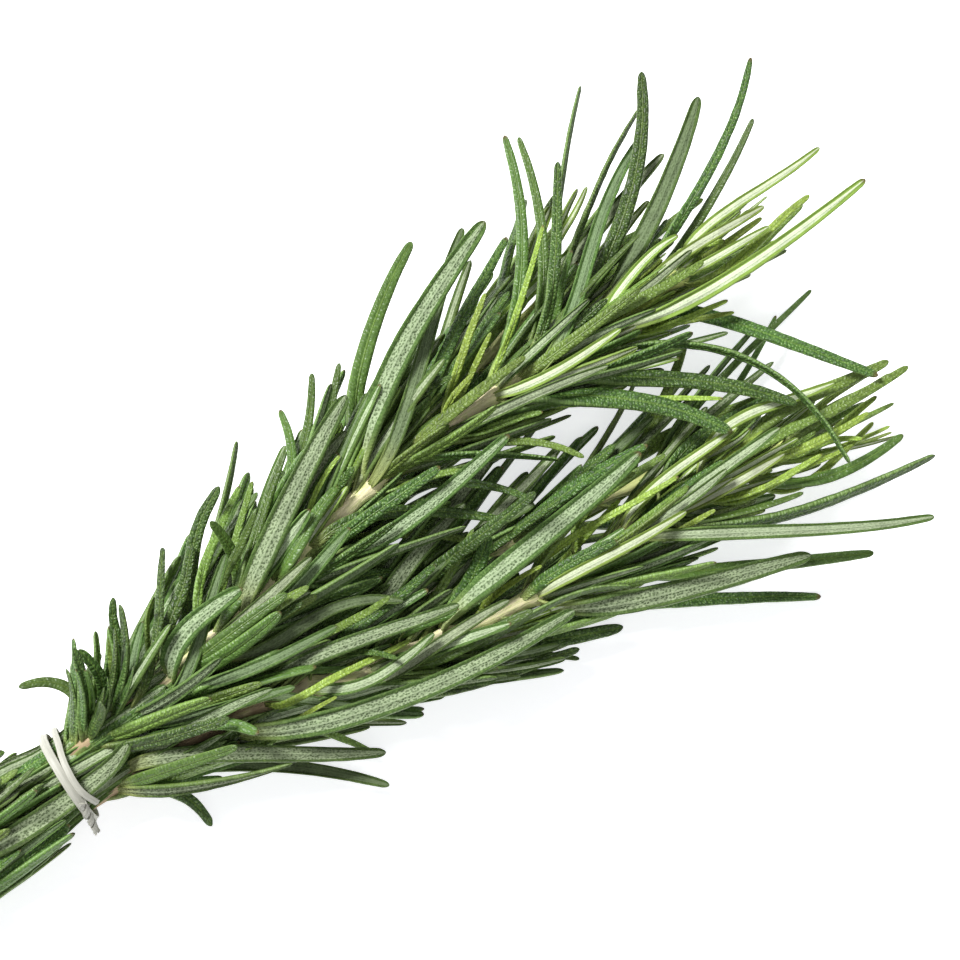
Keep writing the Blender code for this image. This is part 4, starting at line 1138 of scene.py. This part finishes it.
@dataclass
class Foliage:
    """Every leaf of the bunch, whorl by whorl."""

    sweep: SweepTree
    finish: Material
    stems: dict[str, StemLine]
    # How a leaf is drawn
    rows_per_mm: float = 1.6
    short_rows: float = 0.7
    fewest_rows: int = 12
    most_rows: int = 56
    tip_round: float = 1.0
    evening: float = 0.3
    pucker_height: float = 0.16 * MM
    pucker_length_mm: float = 1.3
    least_facing: float = 0.6
    root_depth: float = 0.6
    outline: tuple[Span, ...] = (
        (0.0, 0.45), (0.1, 0.78), (0.27, 1.0), (0.5, 0.96), (0.75, 0.82), (0.92, 0.66), (1.0, 0.48),
    )
    tip_rows: tuple[float, ...] = (1.0, 0.75, 0.5, 0.3, 0.12, 0.02)
    longest_tip: float = 0.25
    least_width: float = 0.02 * MM
    # Which leaves have which look
    look_seed: int = 5
    outer_reach: float = 8.0 * MM
    old_until: float = 0.5
    middling_until: float = 0.65
    # How short leaves grow, and the room that they leave
    place_seed: int = 11
    tries: int = 20
    short_steps: int = 8
    clear_by: float = 0.2
    short_outline: tuple[Span, ...] = ((0.0, 0.5), (0.2, 0.75), (0.5, 1.0), (0.85, 0.95), (1.0, 0.7))
    sway: float = 0.12
    roll: float = 0.7
    least_room: float = 0.5 * MM
    off_floor_mm: float = 0.9
    under_top: float = 0.5 * MM
    tie_reach_mm: float = 2.6
    inside_tie_mm: float = 0.6
    clear_of_stem: float = 0.25 * MM
    bare_room: float = 1.15 * MM
    shown_room: float = 1.45 * MM
    past_whorls: float = 2.2 * MM
    loose_before_mm: float = 6.0
    tail_mm: tuple[float, float, float] = (-2.0, -5.0, 8.0)
    over_leaf_mm: tuple[float, ...] = (1.0, 2.5, 4.0)
    over_bark_mm: tuple[float, ...] = (0.5, 2.0, 3.5, 5.0)
    bare_step_mm: float = 0.7
    shown: list[Array] = field(default_factory=list)
    section: LeafSection = field(default_factory=LeafSection)
    whorls: dict[tuple[str, int], list[LeafLine]] = field(default_factory=dict)

    def read(self) -> None:
        """Reads every leaf from the frame and gives each its look."""
        rng = np.random.default_rng(self.look_seed)
        for sprig, joints in JOINTS.items():
            for joint in range(1, len(joints) + 1):
                found = read_whorl(sprig, joint, self.stems[sprig])
                named = dict(self.named_looks(sprig, joint, [line[-1] for line, _, _ in found]))
                leaves = self.whorls[sprig, joint] = []
                self.shown += [point for k in named for point in self.above(found[k][0])]
                for k, (line, normals, widths) in enumerate(found):
                    look = named.get(k) or self.look_by_place(sprig, joint, line, rng)
                    line, normals, widths = self.rooted(sprig, line, self.turned(normals, look), widths)
                    leaves.append(LeafLine(line, normals, widths, look, float(rng.random())))

    def above(self, line: Array) -> Array:
        """Points over a leaf that stays in sight, where no short leaf may grow.

        Args:
            line: the leaf's centre line.

        Returns:
            The points, over the outer part of the leaf.
        """
        outer = line[3:]
        outer = np.vstack([outer, (outer[1:] + outer[:-1]) / 2])
        return np.vstack([outer + height * MM * Studio.toward_camera() for height in self.over_leaf_mm])

    def turned(self, normals: Array, look: Look) -> Array:
        """Turns a leaf so that it shows the face of its look, and not its edge.

        Args:
            normals: the directions that its upper face has.
            look: its look.

        Returns:
            The directions, turned over or rolled where it needs that.
        """
        above = Studio.toward_camera()
        if (float((normals[2:-1] @ above).mean()) > 0) != look.value.upper:
            normals = -normals
        edge_on = max(0.0, self.least_facing - abs(float((normals[2:-1] @ above).mean())))
        return unit(normals + (1.0 if look.value.upper else -1.0) * edge_on * above)

    def rooted(self, sprig: str, line: Array, normals: Array, widths: Array) -> Rows:
        """Gives a leaf one more section, inside its stem.

        Args:
            sprig: the sprig's name.
            line: the leaf's centre line.
            normals: the way that it faces.
            widths: its half widths.

        Returns:
            The three with a row more at the base.
        """
        axis, _, radius = (row[0] for row in self.stems[sprig].at(line[0, 0] - 0.5 * MM))
        root = axis + unit(line[0] - axis) * radius * self.root_depth
        normals = np.vstack([normals[:1], normals])
        return np.vstack([root, line]), normals, np.concatenate([widths[:1], widths])

    def add_between(self) -> None:
        """Grows the short leaves between the whorls, each in the most open of several random places."""
        rng = np.random.default_rng(self.place_seed)
        leaves = [leaf.points for whorl in self.whorls.values() for leaf in whorl]
        taken = np.vstack([*leaves, *((points[1:-1] + points[2:]) / 2 for points in leaves)])
        over_bare = []
        for sprig, start, end in BARE:
            middles, _, radii = self.stems[sprig].at(PLAN[0] + np.arange(start, end, self.bare_step_mm) * MM)
            heights = (radii[:, None] + height * MM for height in self.over_bark_mm)
            over_bare += [middles + height * Studio.toward_camera() for height in heights]
        bare, shown, there = tree_of(np.concatenate(over_bare)), tree_of(self.shown), tree_of(taken)
        from_above = tree_of(self.on_plan(taken))
        grown = np.full((1, 3), np.inf)
        for stretch in STRETCHES:
            joints, count = np.array(JOINTS[stretch.sprig]), 0
            for _ in range(stretch.count):
                tries = [self.short_leaf(stretch, rng) for _ in range(self.tries)]
                room = [
                    self.room(leaf, bare, shown, there, grown) if self.among_whorls(leaf, from_above) else 0.0
                    for leaf in tries
                ]
                best = int(np.argmax(room))
                if room[best] < self.least_room:
                    continue
                leaf = tries[best]
                joint = 1 + int(np.argmin(np.abs(joints - (leaf.points[0, 0] - PLAN[0]) / MM)))
                self.whorls[stretch.sprig, joint].append(leaf)
                grown = np.vstack([grown, leaf.points])
                count += 1
            LOG.info("%s from %g mm: %d short leaves", stretch.sprig, stretch.start, count)

    def short_leaf(self, stretch: Stretch, rng: np.random.Generator) -> LeafLine:
        """One short leaf of a stretch, at random.

        Args:
            stretch: where it grows, and its size and look.
            rng: the source of random numbers.

        Returns:
            The leaf.
        """
        x = PLAN[0] + rng.uniform(stretch.start, stretch.end) * MM
        middle, ahead, radius = (row[0] for row in self.stems[stretch.sprig].at(x))
        turn = math.radians(rng.uniform(*stretch.turn))
        left = unit(np.cross((0.0, 0.0, 1.0), ahead))
        side = math.cos(turn) * np.cross(ahead, left) + math.sin(turn) * left
        sway = np.cross(ahead, side) * rng.normal(0, self.sway)
        stops = np.linspace(0, 1, self.short_steps + 1)
        lean = rng.uniform(*stretch.lean) * (1 - stops) + rng.uniform(*stretch.tip_lean) * stops
        lean = np.radians(lean)[:, None]
        run = unit(np.cos(lean) * ahead + np.sin(lean) * side + sway * stops[:, None])
        length = rng.uniform(*stretch.length) * MM
        line = np.vstack([np.zeros(3), np.cumsum(run[:-1], axis=0)]) * length / self.short_steps
        line = middle + side * radius * self.root_depth + line
        rise = (1 - self.root_depth) * radius + self.clear_of_stem
        line += side * np.interp(stops, (0, self.clear_by), (0, rise))[:, None]
        inward = square_to(np.sin(lean) * ahead - np.cos(lean) * side, run)
        roll = rng.normal(0, self.roll) * stops[:, None]
        normals = unit(np.cos(roll) * inward + np.sin(roll) * np.cross(run, inward))
        wide = rng.uniform(*stretch.half_width) * MM
        widths = wide * np.interp(stops, *zip(*self.short_outline))
        look = stretch.looks[int(rng.integers(len(stretch.looks)))]
        return LeafLine(line, self.turned(normals, look), widths, look, float(rng.random()), short=True)

    @staticmethod
    def on_plan(points: Array) -> Array:
        """The points as they lie seen from straight above."""
        return points * (1.0, 1.0, 0.0)

    def among_whorls(self, leaf: LeafLine, from_above: KDTree) -> bool:
        """Whether a leaf ends among the whorls' leaves, or within the bunch's tail.

        Args:
            leaf: the leaf.
            from_above: the whorls' leaves as seen from straight above.

        Returns:
            True where it does.
        """
        tip = leaf.points[-1:]
        along, across = (tip[0, :2] - PLAN[:2]) / MM
        behind, right, left = self.tail_mm
        if along < behind:
            return bool(right < across < left)
        return bool(along < self.loose_before_mm or nearest(from_above, self.on_plan(tip)) < self.past_whorls)

    def room(self, leaf: LeafLine, bare: KDTree, shown: KDTree, there: KDTree, grown: Array) -> float:
        """How far a leaf stays from what is there already, or nothing where it may not grow at all.

        Args:
            leaf: the leaf.
            bare: points over the stretches of bare stem.
            shown: points over the leaves that stay in sight.
            there: points of the frame's leaves.
            grown: points of the short leaves that have grown.

        Returns:
            The smallest distance past the leaf's base.
        """
        plan = (leaf.points - PLAN) / MM
        if plan[:, 2].min() < self.off_floor_mm or leaf.points[:, 2].max() > CAD_BOX[1][2] - self.under_top:
            return 0.0
        near_tie = np.abs(plan[:, 0]) < self.tie_reach_mm
        inside = np.array(TIE_INSIDE_MM) - self.inside_tie_mm
        off = np.hypot(*((plan[near_tie, 1:] - TIE_MIDDLE_MM[1:]) / inside).T)
        if near_tie.any() and off.max() > 1:
            return 0.0
        if nearest(bare, leaf.points) < self.bare_room:
            return 0.0
        between = (leaf.points[1:] + leaf.points[:-1]) / 2
        if nearest(shown, np.vstack([leaf.points, between])) < self.shown_room:
            return 0.0
        gaps = np.linalg.norm(leaf.points[3:, None] - grown[None], axis=2)
        return min(float(gaps.min()), nearest(there, leaf.points[3:]))

    @staticmethod
    def named_looks(sprig: str, joint: int, tips: list[Array]) -> Iterable[tuple[int, Look]]:
        """Pairs each look named for a joint with the leaf whose tip is nearest.

        Args:
            sprig: the sprig's name.
            joint: the joint's number.
            tips: the tips of its leaves.

        Yields:
            A leaf's number and its look.
        """
        free = list(range(len(tips)))
        for x, y, look in LOOKS.get(sprig, {}).get(joint, ()):
            goal = PLAN[:2] + np.array((x, y)) * MM
            best = min(free, key=lambda k: float(np.linalg.norm(tips[k][:2] - goal)))
            free.remove(best)
            yield best, look

    def look_by_place(self, sprig: str, joint: int, line: Array, rng: np.random.Generator) -> Look:
        """A look at random from those that grow at a leaf's place.

        Args:
            sprig: the sprig's name.
            joint: the joint's number.
            line: the leaf's centre line.
            rng: the source of random numbers.

        Returns:
            The look.
        """
        axis, _, _ = (row[0] for row in self.stems[sprig].at(line[-1, 0]))
        outer = np.linalg.norm(line[-1] - axis) > self.outer_reach
        share = joint / len(JOINTS[sprig])
        within = OLD if share < self.old_until else MIDDLING if share < self.middling_until else TIP
        looks = OUTER if outer else within
        return looks[int(rng.integers(len(looks)))]

    def smooth_leaf(self, leaf: LeafLine) -> dict[str, Array]:
        """The guide line of a leaf, with its points close together and a round tip.

        Args:
            leaf: the leaf.

        Returns:
            The points and what is stored at them, by name.
        """
        line = leaf.points.copy()
        line[1:-1] += self.evening * ((line[2:] + line[:-2]) / 2 - line[1:-1])
        stops = np.concatenate([[0.0], np.cumsum(np.linalg.norm(np.diff(line, axis=0), axis=1))])
        length = stops[-1]
        density = self.rows_per_mm * (self.short_rows if leaf.short else 1.0)
        rows = np.clip(round(length / MM * density), self.fewest_rows, self.most_rows)
        reach = np.linspace(0, 1, int(rows))
        skin = leaf.look.value
        widest = float(np.max(leaf.half_widths[2:-1])) * (1.0 if leaf.short else skin.width)
        tip = min(self.tip_round * widest / length, self.longest_tip)
        reach = np.unique(np.concatenate([reach, 1 - tip * np.array(self.tip_rows)]))
        body = np.interp(reach, *zip(*self.outline))
        into_tip = np.clip((reach - (1 - tip)) / tip, 0, 1)
        values = {
            "points": smooth_through(stops, line, reach * length),
            "facing": unit(smooth_through(stops, leaf.normals, reach * length)),
            "half_width": np.maximum(widest * body * np.sqrt(1 - into_tip**2), self.least_width),
            "along_mm": reach * length / MM,
            "reach": reach,
        }
        whole = {
            "width_mm": widest / MM, "age": skin.age, "felt": skin.pits, "pale": skin.paleness,
            "wrinkle": skin.wrinkles, "seed": leaf.seed,
        }
        return values | {name: value * np.ones(len(reach)) for name, value in whole.items()}

    def build(self) -> list[Object]:
        """Sweeps the leaves of every whorl.

        Returns:
            One piece for each whorl.
        """
        section = self.section.build()
        pieces = []
        for (sprig, joint), leaves in self.whorls.items():
            name = f"{sprig}_leaves_{joint:02d}"
            guides = [self.smooth_leaf(leaf) for leaf in leaves]
            mesh = line_mesh(f"{name}_guides", [guide.pop("points") for guide in guides], closed=False)
            for key in guides[0]:
                store(mesh, key, np.concatenate([guide[key] for guide in guides]))
            values = {
                "Section": section, "Finish": self.finish, "Pucker Height": self.pucker_height,
                "Pucker Length": self.pucker_length_mm, "Fill Ends": True, "Seed": 0.0,
            }
            piece = self.sweep.grow(name, mesh, values)
            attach(piece, "root")
            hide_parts(f"{sprig}_whorl_{joint:02d}")
            pieces.append(piece)
        bpy.data.objects.remove(section)
        return pieces


@dataclass
class Stems:
    """The four stems, swollen at their joints and cut square at the foot."""

    lines: dict[str, StemLine]
    finish: Material
    sides: int = 24
    step: float = 0.6 * MM
    swelling: float = 0.45 * MM
    swelling_length: float = 1.1 * MM
    ridges: int = 4
    ridge_height: float = 0.07
    tip_size: float = 0.35
    foot_mm: float = 30.0
    woody_fade_mm: float = 30.0
    seed_step: float = 0.21
    cut_rings: tuple[float, ...] = (0.12, 0.5, 0.9)
    woody_until: dict[str, float] = field(
        default_factory=lambda: {"sprig_a": 2.0, "sprig_b": 10.0, "sprig_c": 20.0, "sprig_d": 20.0}
    )

    def build(self) -> list[Object]:
        """One piece for each stem."""
        return [self.build_one(sprig, line, k) for k, (sprig, line) in enumerate(self.lines.items())]

    def build_one(self, sprig: str, line: StemLine, number: int) -> Object:
        """Sweeps one stem from its cut end to its tip.

        Args:
            sprig: the sprig's name.
            line: its stem in the frame.
            number: its place among the stems, which seeds its bark.

        Returns:
            The piece.
        """
        x = np.arange(line.points[0, 0], line.points[-1, 0], self.step)
        x[-1] = line.points[-1, 0]
        middles, ahead, radii = line.at(x)
        left = square_to(np.cross(np.array((0.0, 0.0, 1.0)), ahead), ahead)
        up = np.cross(ahead, left)
        joints = PLAN[0] + np.array(JOINTS[sprig]) * MM
        near = np.exp(-(((x[:, None] - joints[None]) / self.swelling_length) ** 2)).sum(axis=1)
        turn = np.arange(self.sides) * math.tau / self.sides
        ridges = 1 + self.ridge_height * np.cos(self.ridges * turn + number)[None]
        size = radii[:, None] * ridges + self.swelling * near[:, None]
        size[-1] *= self.tip_size
        over, aside = (way(turn)[None, :, None] for way in (np.cos, np.sin))
        round_stem = over * up[:, None] + aside * left[:, None]
        rows = middles[:, None] + size[..., None] * round_stem
        rings = [middles[0] + (rows[0] - middles[0]) * share for share in self.cut_rings]
        rows = np.concatenate([np.array(rings), rows])
        count, sides = len(rows), self.sides
        faces = [
            (k + s, k + sides + s, k + sides + n, k + n)
            for k in range(0, (count - 1) * sides, sides)
            for s, n in ((s, (s + 1) % sides) for s in range(sides))
        ]
        faces.append(tuple(range(sides)))
        faces.append(tuple(reversed(range((count - 1) * sides, count * sides))))
        mesh = bpy.data.meshes.new(f"{sprig}_bark")
        mesh.from_pydata([tuple(p) for p in rows.reshape(-1, 3)], [], faces)
        mesh.polygons.foreach_set("use_smooth", [True] * len(faces))
        along = np.concatenate([np.zeros(len(rings)), (x - x[0]) / MM])
        cut = [1.0] * len(rings) + [0.0] * len(x)
        core = [*self.cut_rings] + [1.0] * len(x)
        woody = np.clip(1 - (along - self.foot_mm - self.woody_until[sprig]) / self.woody_fade_mm, 0, 1)
        for name, values in (("along_mm", along), ("woody", woody), ("cut", cut), ("core", core)):
            store(mesh, name, np.repeat(values, sides))
        store(mesh, "around_mm", np.tile(turn * (float(radii.mean()) / MM), count))
        store(mesh, "seed", np.full(count * sides, self.seed_step * (number + 1)))
        mesh.materials.append(self.finish)
        piece = linked(mesh.name, mesh)
        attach(piece, "root")
        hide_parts(f"{sprig}_stem")
        return piece


@dataclass
class TwistTie:
    """Two flat strands round the bunch, twisted together at the right, with one free end."""

    sweep: SweepTree
    finish: Material
    wide_mm: float = 0.52
    narrow_mm: float = 0.37
    thickness: float = 0.42
    section_points: int = 20
    loop_points: int = 72
    wrinkle: float = 0.35
    pucker_height: float = 0.12 * MM
    pucker_length_mm: float = 0.8
    loop_out_mm: float = 0.2
    loop_sway_mm: tuple[float, float, float] = (-0.25, -0.45, 0.15)
    cross_out_mm: float = 0.25
    # How far along the bunch, and how far out, the second strand runs at each turn round it
    cross_along_mm: tuple[Span, ...] = (
        (-1.2, 0.9), (0.3, 1.2), (0.9, 0.9), (1.6, 0.15), (2.1, 0.1), (2.55, 0.9),
    )
    cross_lift_mm: tuple[Span, ...] = ((1.1, 0.0), (1.7, 0.35), (2.1, 0.45), (2.55, 0.3))
    twist_turns: float = 1.8
    twist_mm: float = 0.4
    twist_ends_mm: tuple[tuple[float, float, float], ...] = ((-0.5, -2.7, 9.0), (-0.9, -5.6, 4.6))
    edge_power: float = 0.6
    flat_share: float = 0.55
    wire_height: float = 0.9
    wire_width: float = 0.28
    cross_points: int = 60
    twist_points: int = 48
    strip_points: int = 32
    strip_facing: tuple[float, float, float] = (0.1, -0.6, 0.8)
    strip_mm: tuple[tuple[float, float, float], ...] = (
        (4.6, 2.4, 8.4), (4.6, 0.9, 8.8), (4.6, -1.2, 8.2), (4.6, -3.0, 7.0), (4.5, -4.3, 5.6),
    )

    def section(self) -> Object:
        """The section of a strand: flat with round edges and a wire down its middle.

        Returns:
            Its outline in half widths, as an object that the sweep reads.
        """
        rows = []
        for k in reversed(range(self.section_points)):
            a = k * math.tau / self.section_points
            side, height = (
                math.copysign(abs(way(a)) ** self.edge_power, way(a)) for way in (math.cos, math.sin)
            )
            wire = self.wire_height * math.exp(-((side / self.wire_width) ** 2))
            rows.append((height * self.thickness * (self.flat_share + wire), side, 0.0))
        mesh = line_mesh("strand_section", [np.array(rows)], closed=True)
        store(mesh, "across", np.array(rows)[:, 1])
        return linked("strand_section", mesh)

    @staticmethod
    def round_bunch(turns: Array, at_mm: Array, out_mm: float) -> tuple[Array, Array]:
        """A strand's way round the bunch.

        Args:
            turns: angles round the bunch, from its left over its top.
            at_mm: where the strand is along the bunch at each of them.
            out_mm: how far outside the band's inner face its middle lies.

        Returns:
            Points and outward directions in the frame.
        """
        wide, high = (size + out_mm for size in TIE_INSIDE_MM)
        y = TIE_MIDDLE_MM[1] + wide * np.cos(turns)
        z = TIE_MIDDLE_MM[2] + high * np.sin(turns)
        outward = unit(np.stack([np.zeros_like(turns), np.cos(turns) / wide, np.sin(turns) / high], axis=1))
        return PLAN + np.stack([at_mm, y, z], axis=1) * MM, outward

    def first_strand(self) -> tuple[Array, Array]:
        """The strand that goes the whole way round.

        Returns:
            Points and outward directions.
        """
        turns = np.linspace(0, math.tau, self.loop_points, endpoint=False)
        at, by_sine, by_cosine = self.loop_sway_mm
        along = at + by_sine * np.sin(turns) + by_cosine * np.cos(turns)
        return self.round_bunch(turns, along, self.loop_out_mm)

    def second_strand(self) -> tuple[Array, Array]:
        """The strand that crosses over the first and ends free on the right.

        Returns:
            Points and outward directions.
        """
        stops, along = np.array(self.cross_along_mm).T
        turns = np.linspace(stops[0], stops[-1], self.cross_points)
        points, outward = self.round_bunch(turns, smooth_through(stops, along, turns), self.cross_out_mm)
        lift = np.interp(turns, *zip(*self.cross_lift_mm))[:, None] * MM
        return points + outward * lift, outward

    def twisted(self, strand: int) -> tuple[Array, Array]:
        """One of the two ends that wind round each other at the right.

        Args:
            strand: 0 or 1.

        Returns:
            Points and facing directions.
        """
        u = np.linspace(0, 1, self.twist_points)
        root, end = (np.array(p) for p in self.twist_ends_mm)
        way = unit(end - root)
        first = unit(np.cross(way, np.array((1.0, 0.0, 0.0))))
        second = np.cross(way, first)
        angle = math.tau * self.twist_turns * u + strand * math.pi
        radius = self.twist_mm * (0.5 + 0.5 * np.sin(math.pi * np.clip(u + 0.2, 0, 1)))
        arm = np.cos(angle)[:, None] * first + np.sin(angle)[:, None] * second
        points = root + (end - root) * u[:, None] + arm * radius[:, None]
        return PLAN + points * MM, arm

    def strip(self) -> tuple[Array, Array]:
        """The free stretch of the tie, which faces up and to the right.

        Returns:
            Points and facing directions.
        """
        stops = np.arange(len(self.strip_mm), dtype=float)
        at = np.linspace(0, stops[-1], self.strip_points)
        points = smooth_through(stops, np.array(self.strip_mm), at)
        ahead = unit(np.gradient(points, axis=0))
        facing = square_to(np.broadcast_to(self.strip_facing, ahead.shape), ahead)
        return PLAN + points * MM, facing

    def swept(
        self, name: str, section: Object, runs: Sequence[tuple[Array, Array]], half_mm: float, closed: bool
    ) -> Object:
        """One piece of the tie.

        Args:
            name: its name.
            section: the section of a strand.
            runs: points and facing directions of each strand in it.
            half_mm: the strands' half width.
            closed: whether they are loops.

        Returns:
            The piece.
        """
        mesh = line_mesh(f"{name}_guides", [points for points, _ in runs], closed=closed)
        spans = [np.linalg.norm(np.diff(points, axis=0), axis=1) for points, _ in runs]
        ones = np.ones(len(mesh.vertices))
        store(mesh, "facing", np.concatenate([facing for _, facing in runs]))
        store(mesh, "half_width", half_mm * MM * ones)
        store(mesh, "width_mm", half_mm * ones)
        along = [np.concatenate([[0], np.cumsum(span)]) / MM for span in spans]
        store(mesh, "along_mm", np.concatenate(along))
        store(mesh, "wrinkle", self.wrinkle * ones)
        store(mesh, "seed", np.concatenate([np.full(len(p), 0.2 + 0.3 * k) for k, (p, _) in enumerate(runs)]))
        values = {
            "Section": section, "Finish": self.finish, "Pucker Height": self.pucker_height,
            "Pucker Length": self.pucker_length_mm, "Fill Ends": not closed, "Seed": 3.0,
        }
        return self.sweep.grow(name, mesh, values)

    def build(self) -> list[Object]:
        """Sweeps the strands.

        Returns:
            The closed loop, and the strands with ends as one piece.
        """
        section = self.section()
        ends = [self.second_strand(), self.twisted(0), self.twisted(1), self.strip()]
        parts = [
            self.swept("tie_ribbon", section, [self.first_strand()], self.wide_mm, closed=True),
            self.swept("tie_twist", section, ends, self.narrow_mm, closed=False),
        ]
        bpy.data.objects.remove(section)
        for part in parts:
            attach(part, "root")
            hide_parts("twist_tie")
        return parts


# The studio


@dataclass(frozen=True)
class Studio:
    """The pale floor, the soft light and the camera, which looks down on the bunch."""

    azimuth: float = -33.914
    elevation: float = 75.0
    lens_mm: float = 120.0
    sensor_mm: float = 36.0
    distance: float = 0.352
    target_mm: tuple[float, float, float] = (54.879, 2.840, 10.0)
    floor_size: float = 1.5
    floor_drop: float = 0.2 * MM
    floor_glow: float = 0.66
    floor_tints: tuple[Colour, Colour] = ((0.90, 0.90, 0.905), (0.92, 0.92, 0.92))
    sky: Colour = (0.98, 0.99, 1.0)
    sky_strength: float = 0.31

    @classmethod
    def toward_camera(cls) -> Array:
        """The direction from the bunch to the camera."""
        a, e = math.radians(cls.azimuth), math.radians(cls.elevation)
        return np.array((math.sin(a) * math.cos(e), -math.cos(a) * math.cos(e), math.sin(e)))

    @staticmethod
    def stand(name: str, data: bpy.types.ID, right: Array, back: Array, place: Array) -> Object:
        """Stands a camera or a lamp at a place.

        Args:
            name: its name.
            data: the camera or the lamp.
            right: the direction on its right.
            back: the direction behind it.
            place: where it is.

        Returns:
            The object.
        """
        axes = (right, np.cross(back, right), back, place)
        made = linked(name, data)
        made.matrix_world = Matrix([[axis[k] for axis in axes] for k in range(3)] + [(0, 0, 0, 1)])
        return made

    def camera(self) -> None:
        """Makes the camera."""
        a, back = math.radians(self.azimuth), self.toward_camera()
        lens = bpy.data.cameras.new("camera")
        lens.lens, lens.sensor_width, lens.clip_start = self.lens_mm, self.sensor_mm, 0.01
        place = PLAN + np.array(self.target_mm) * MM + back * self.distance
        right = np.array((math.cos(a), math.sin(a), 0.0))
        bpy.context.scene.camera = self.stand("camera", lens, right, back, place)

    def floor(self) -> None:
        """Makes the pale floor, a little below the lowest leaf."""
        mesh = bpy.data.meshes.new("floor")
        size = self.floor_size
        corners = [(x * size, y * size, -self.floor_drop) for x, y in ((-1, -1), (1, -1), (1, 1), (-1, 1))]
        mesh.from_pydata(corners, [], [(0, 1, 2, 3)])
        made, w, shader = Finish.blank("pale_floor")
        spots = w.noise(w.node("ShaderNodeTexCoord").outputs["Object"], 3.0)
        w.feed(shader.inputs["Base Color"], w.mix(spots, *self.floor_tints))
        w.fill(shader, {
            "Roughness": 0.9, "Specular IOR Level": 0.1, "Emission Color": (0.95, 0.95, 1.0),
            "Emission Strength": self.floor_glow,
        })
        mesh.materials.append(made)
        floor = linked("floor", mesh)

    def light(self, name: str, place: tuple[float, float, float], size: float, power: float) -> None:
        """Makes a square soft light that faces the bunch.

        Args:
            name: its name.
            place: where it is.
            size: the length of its side.
            power: its power in watts.
        """
        lamp = bpy.data.lights.new(name, "AREA")
        lamp.size, lamp.energy = size, power
        back = unit(np.array(place))
        self.stand(name, lamp, unit(np.cross((0.0, 1.0, 0.3), back)), back, place)

    def build(self) -> None:
        """Makes the whole studio."""
        self.camera()
        self.floor()
        self.light("key", (-0.24, 0.5, 0.86), size=0.28, power=18.0)
        self.light("fill", (-0.12, -0.4, 1.0), size=0.5, power=2.0)
        world = bpy.data.worlds.new("world")
        bpy.context.scene.world = world
        world.use_nodes = True
        sky = world.node_tree.nodes["Background"]
        sky.inputs["Color"].default_value = (*self.sky, 1.0)
        sky.inputs["Strength"].default_value = self.sky_strength
        bpy.context.scene.view_settings.view_transform = "Standard"


def main() -> None:
    """Builds the studio and every piece of the bunch, and reports each piece."""
    logging.basicConfig(level=logging.INFO, format="%(name)s: %(message)s")
    Studio().build()
    effects = Effects()
    stems = {sprig: StemLine(sprig) for sprig in JOINTS}
    sweep = SweepTree("sweep_section")
    pieces = Stems(stems, BarkFinish().build(effects)).build()
    leaves = Foliage(sweep, LeafFinish().build(effects), stems)
    leaves.read()
    leaves.add_between()
    pieces += leaves.build()
    pieces += TwistTie(sweep, TieFinish().build(effects)).build()
    for piece in pieces:
        LOG.info("%s: %d faces", piece.name, len(piece.data.polygons))


if __name__ == "__main__":
    main()
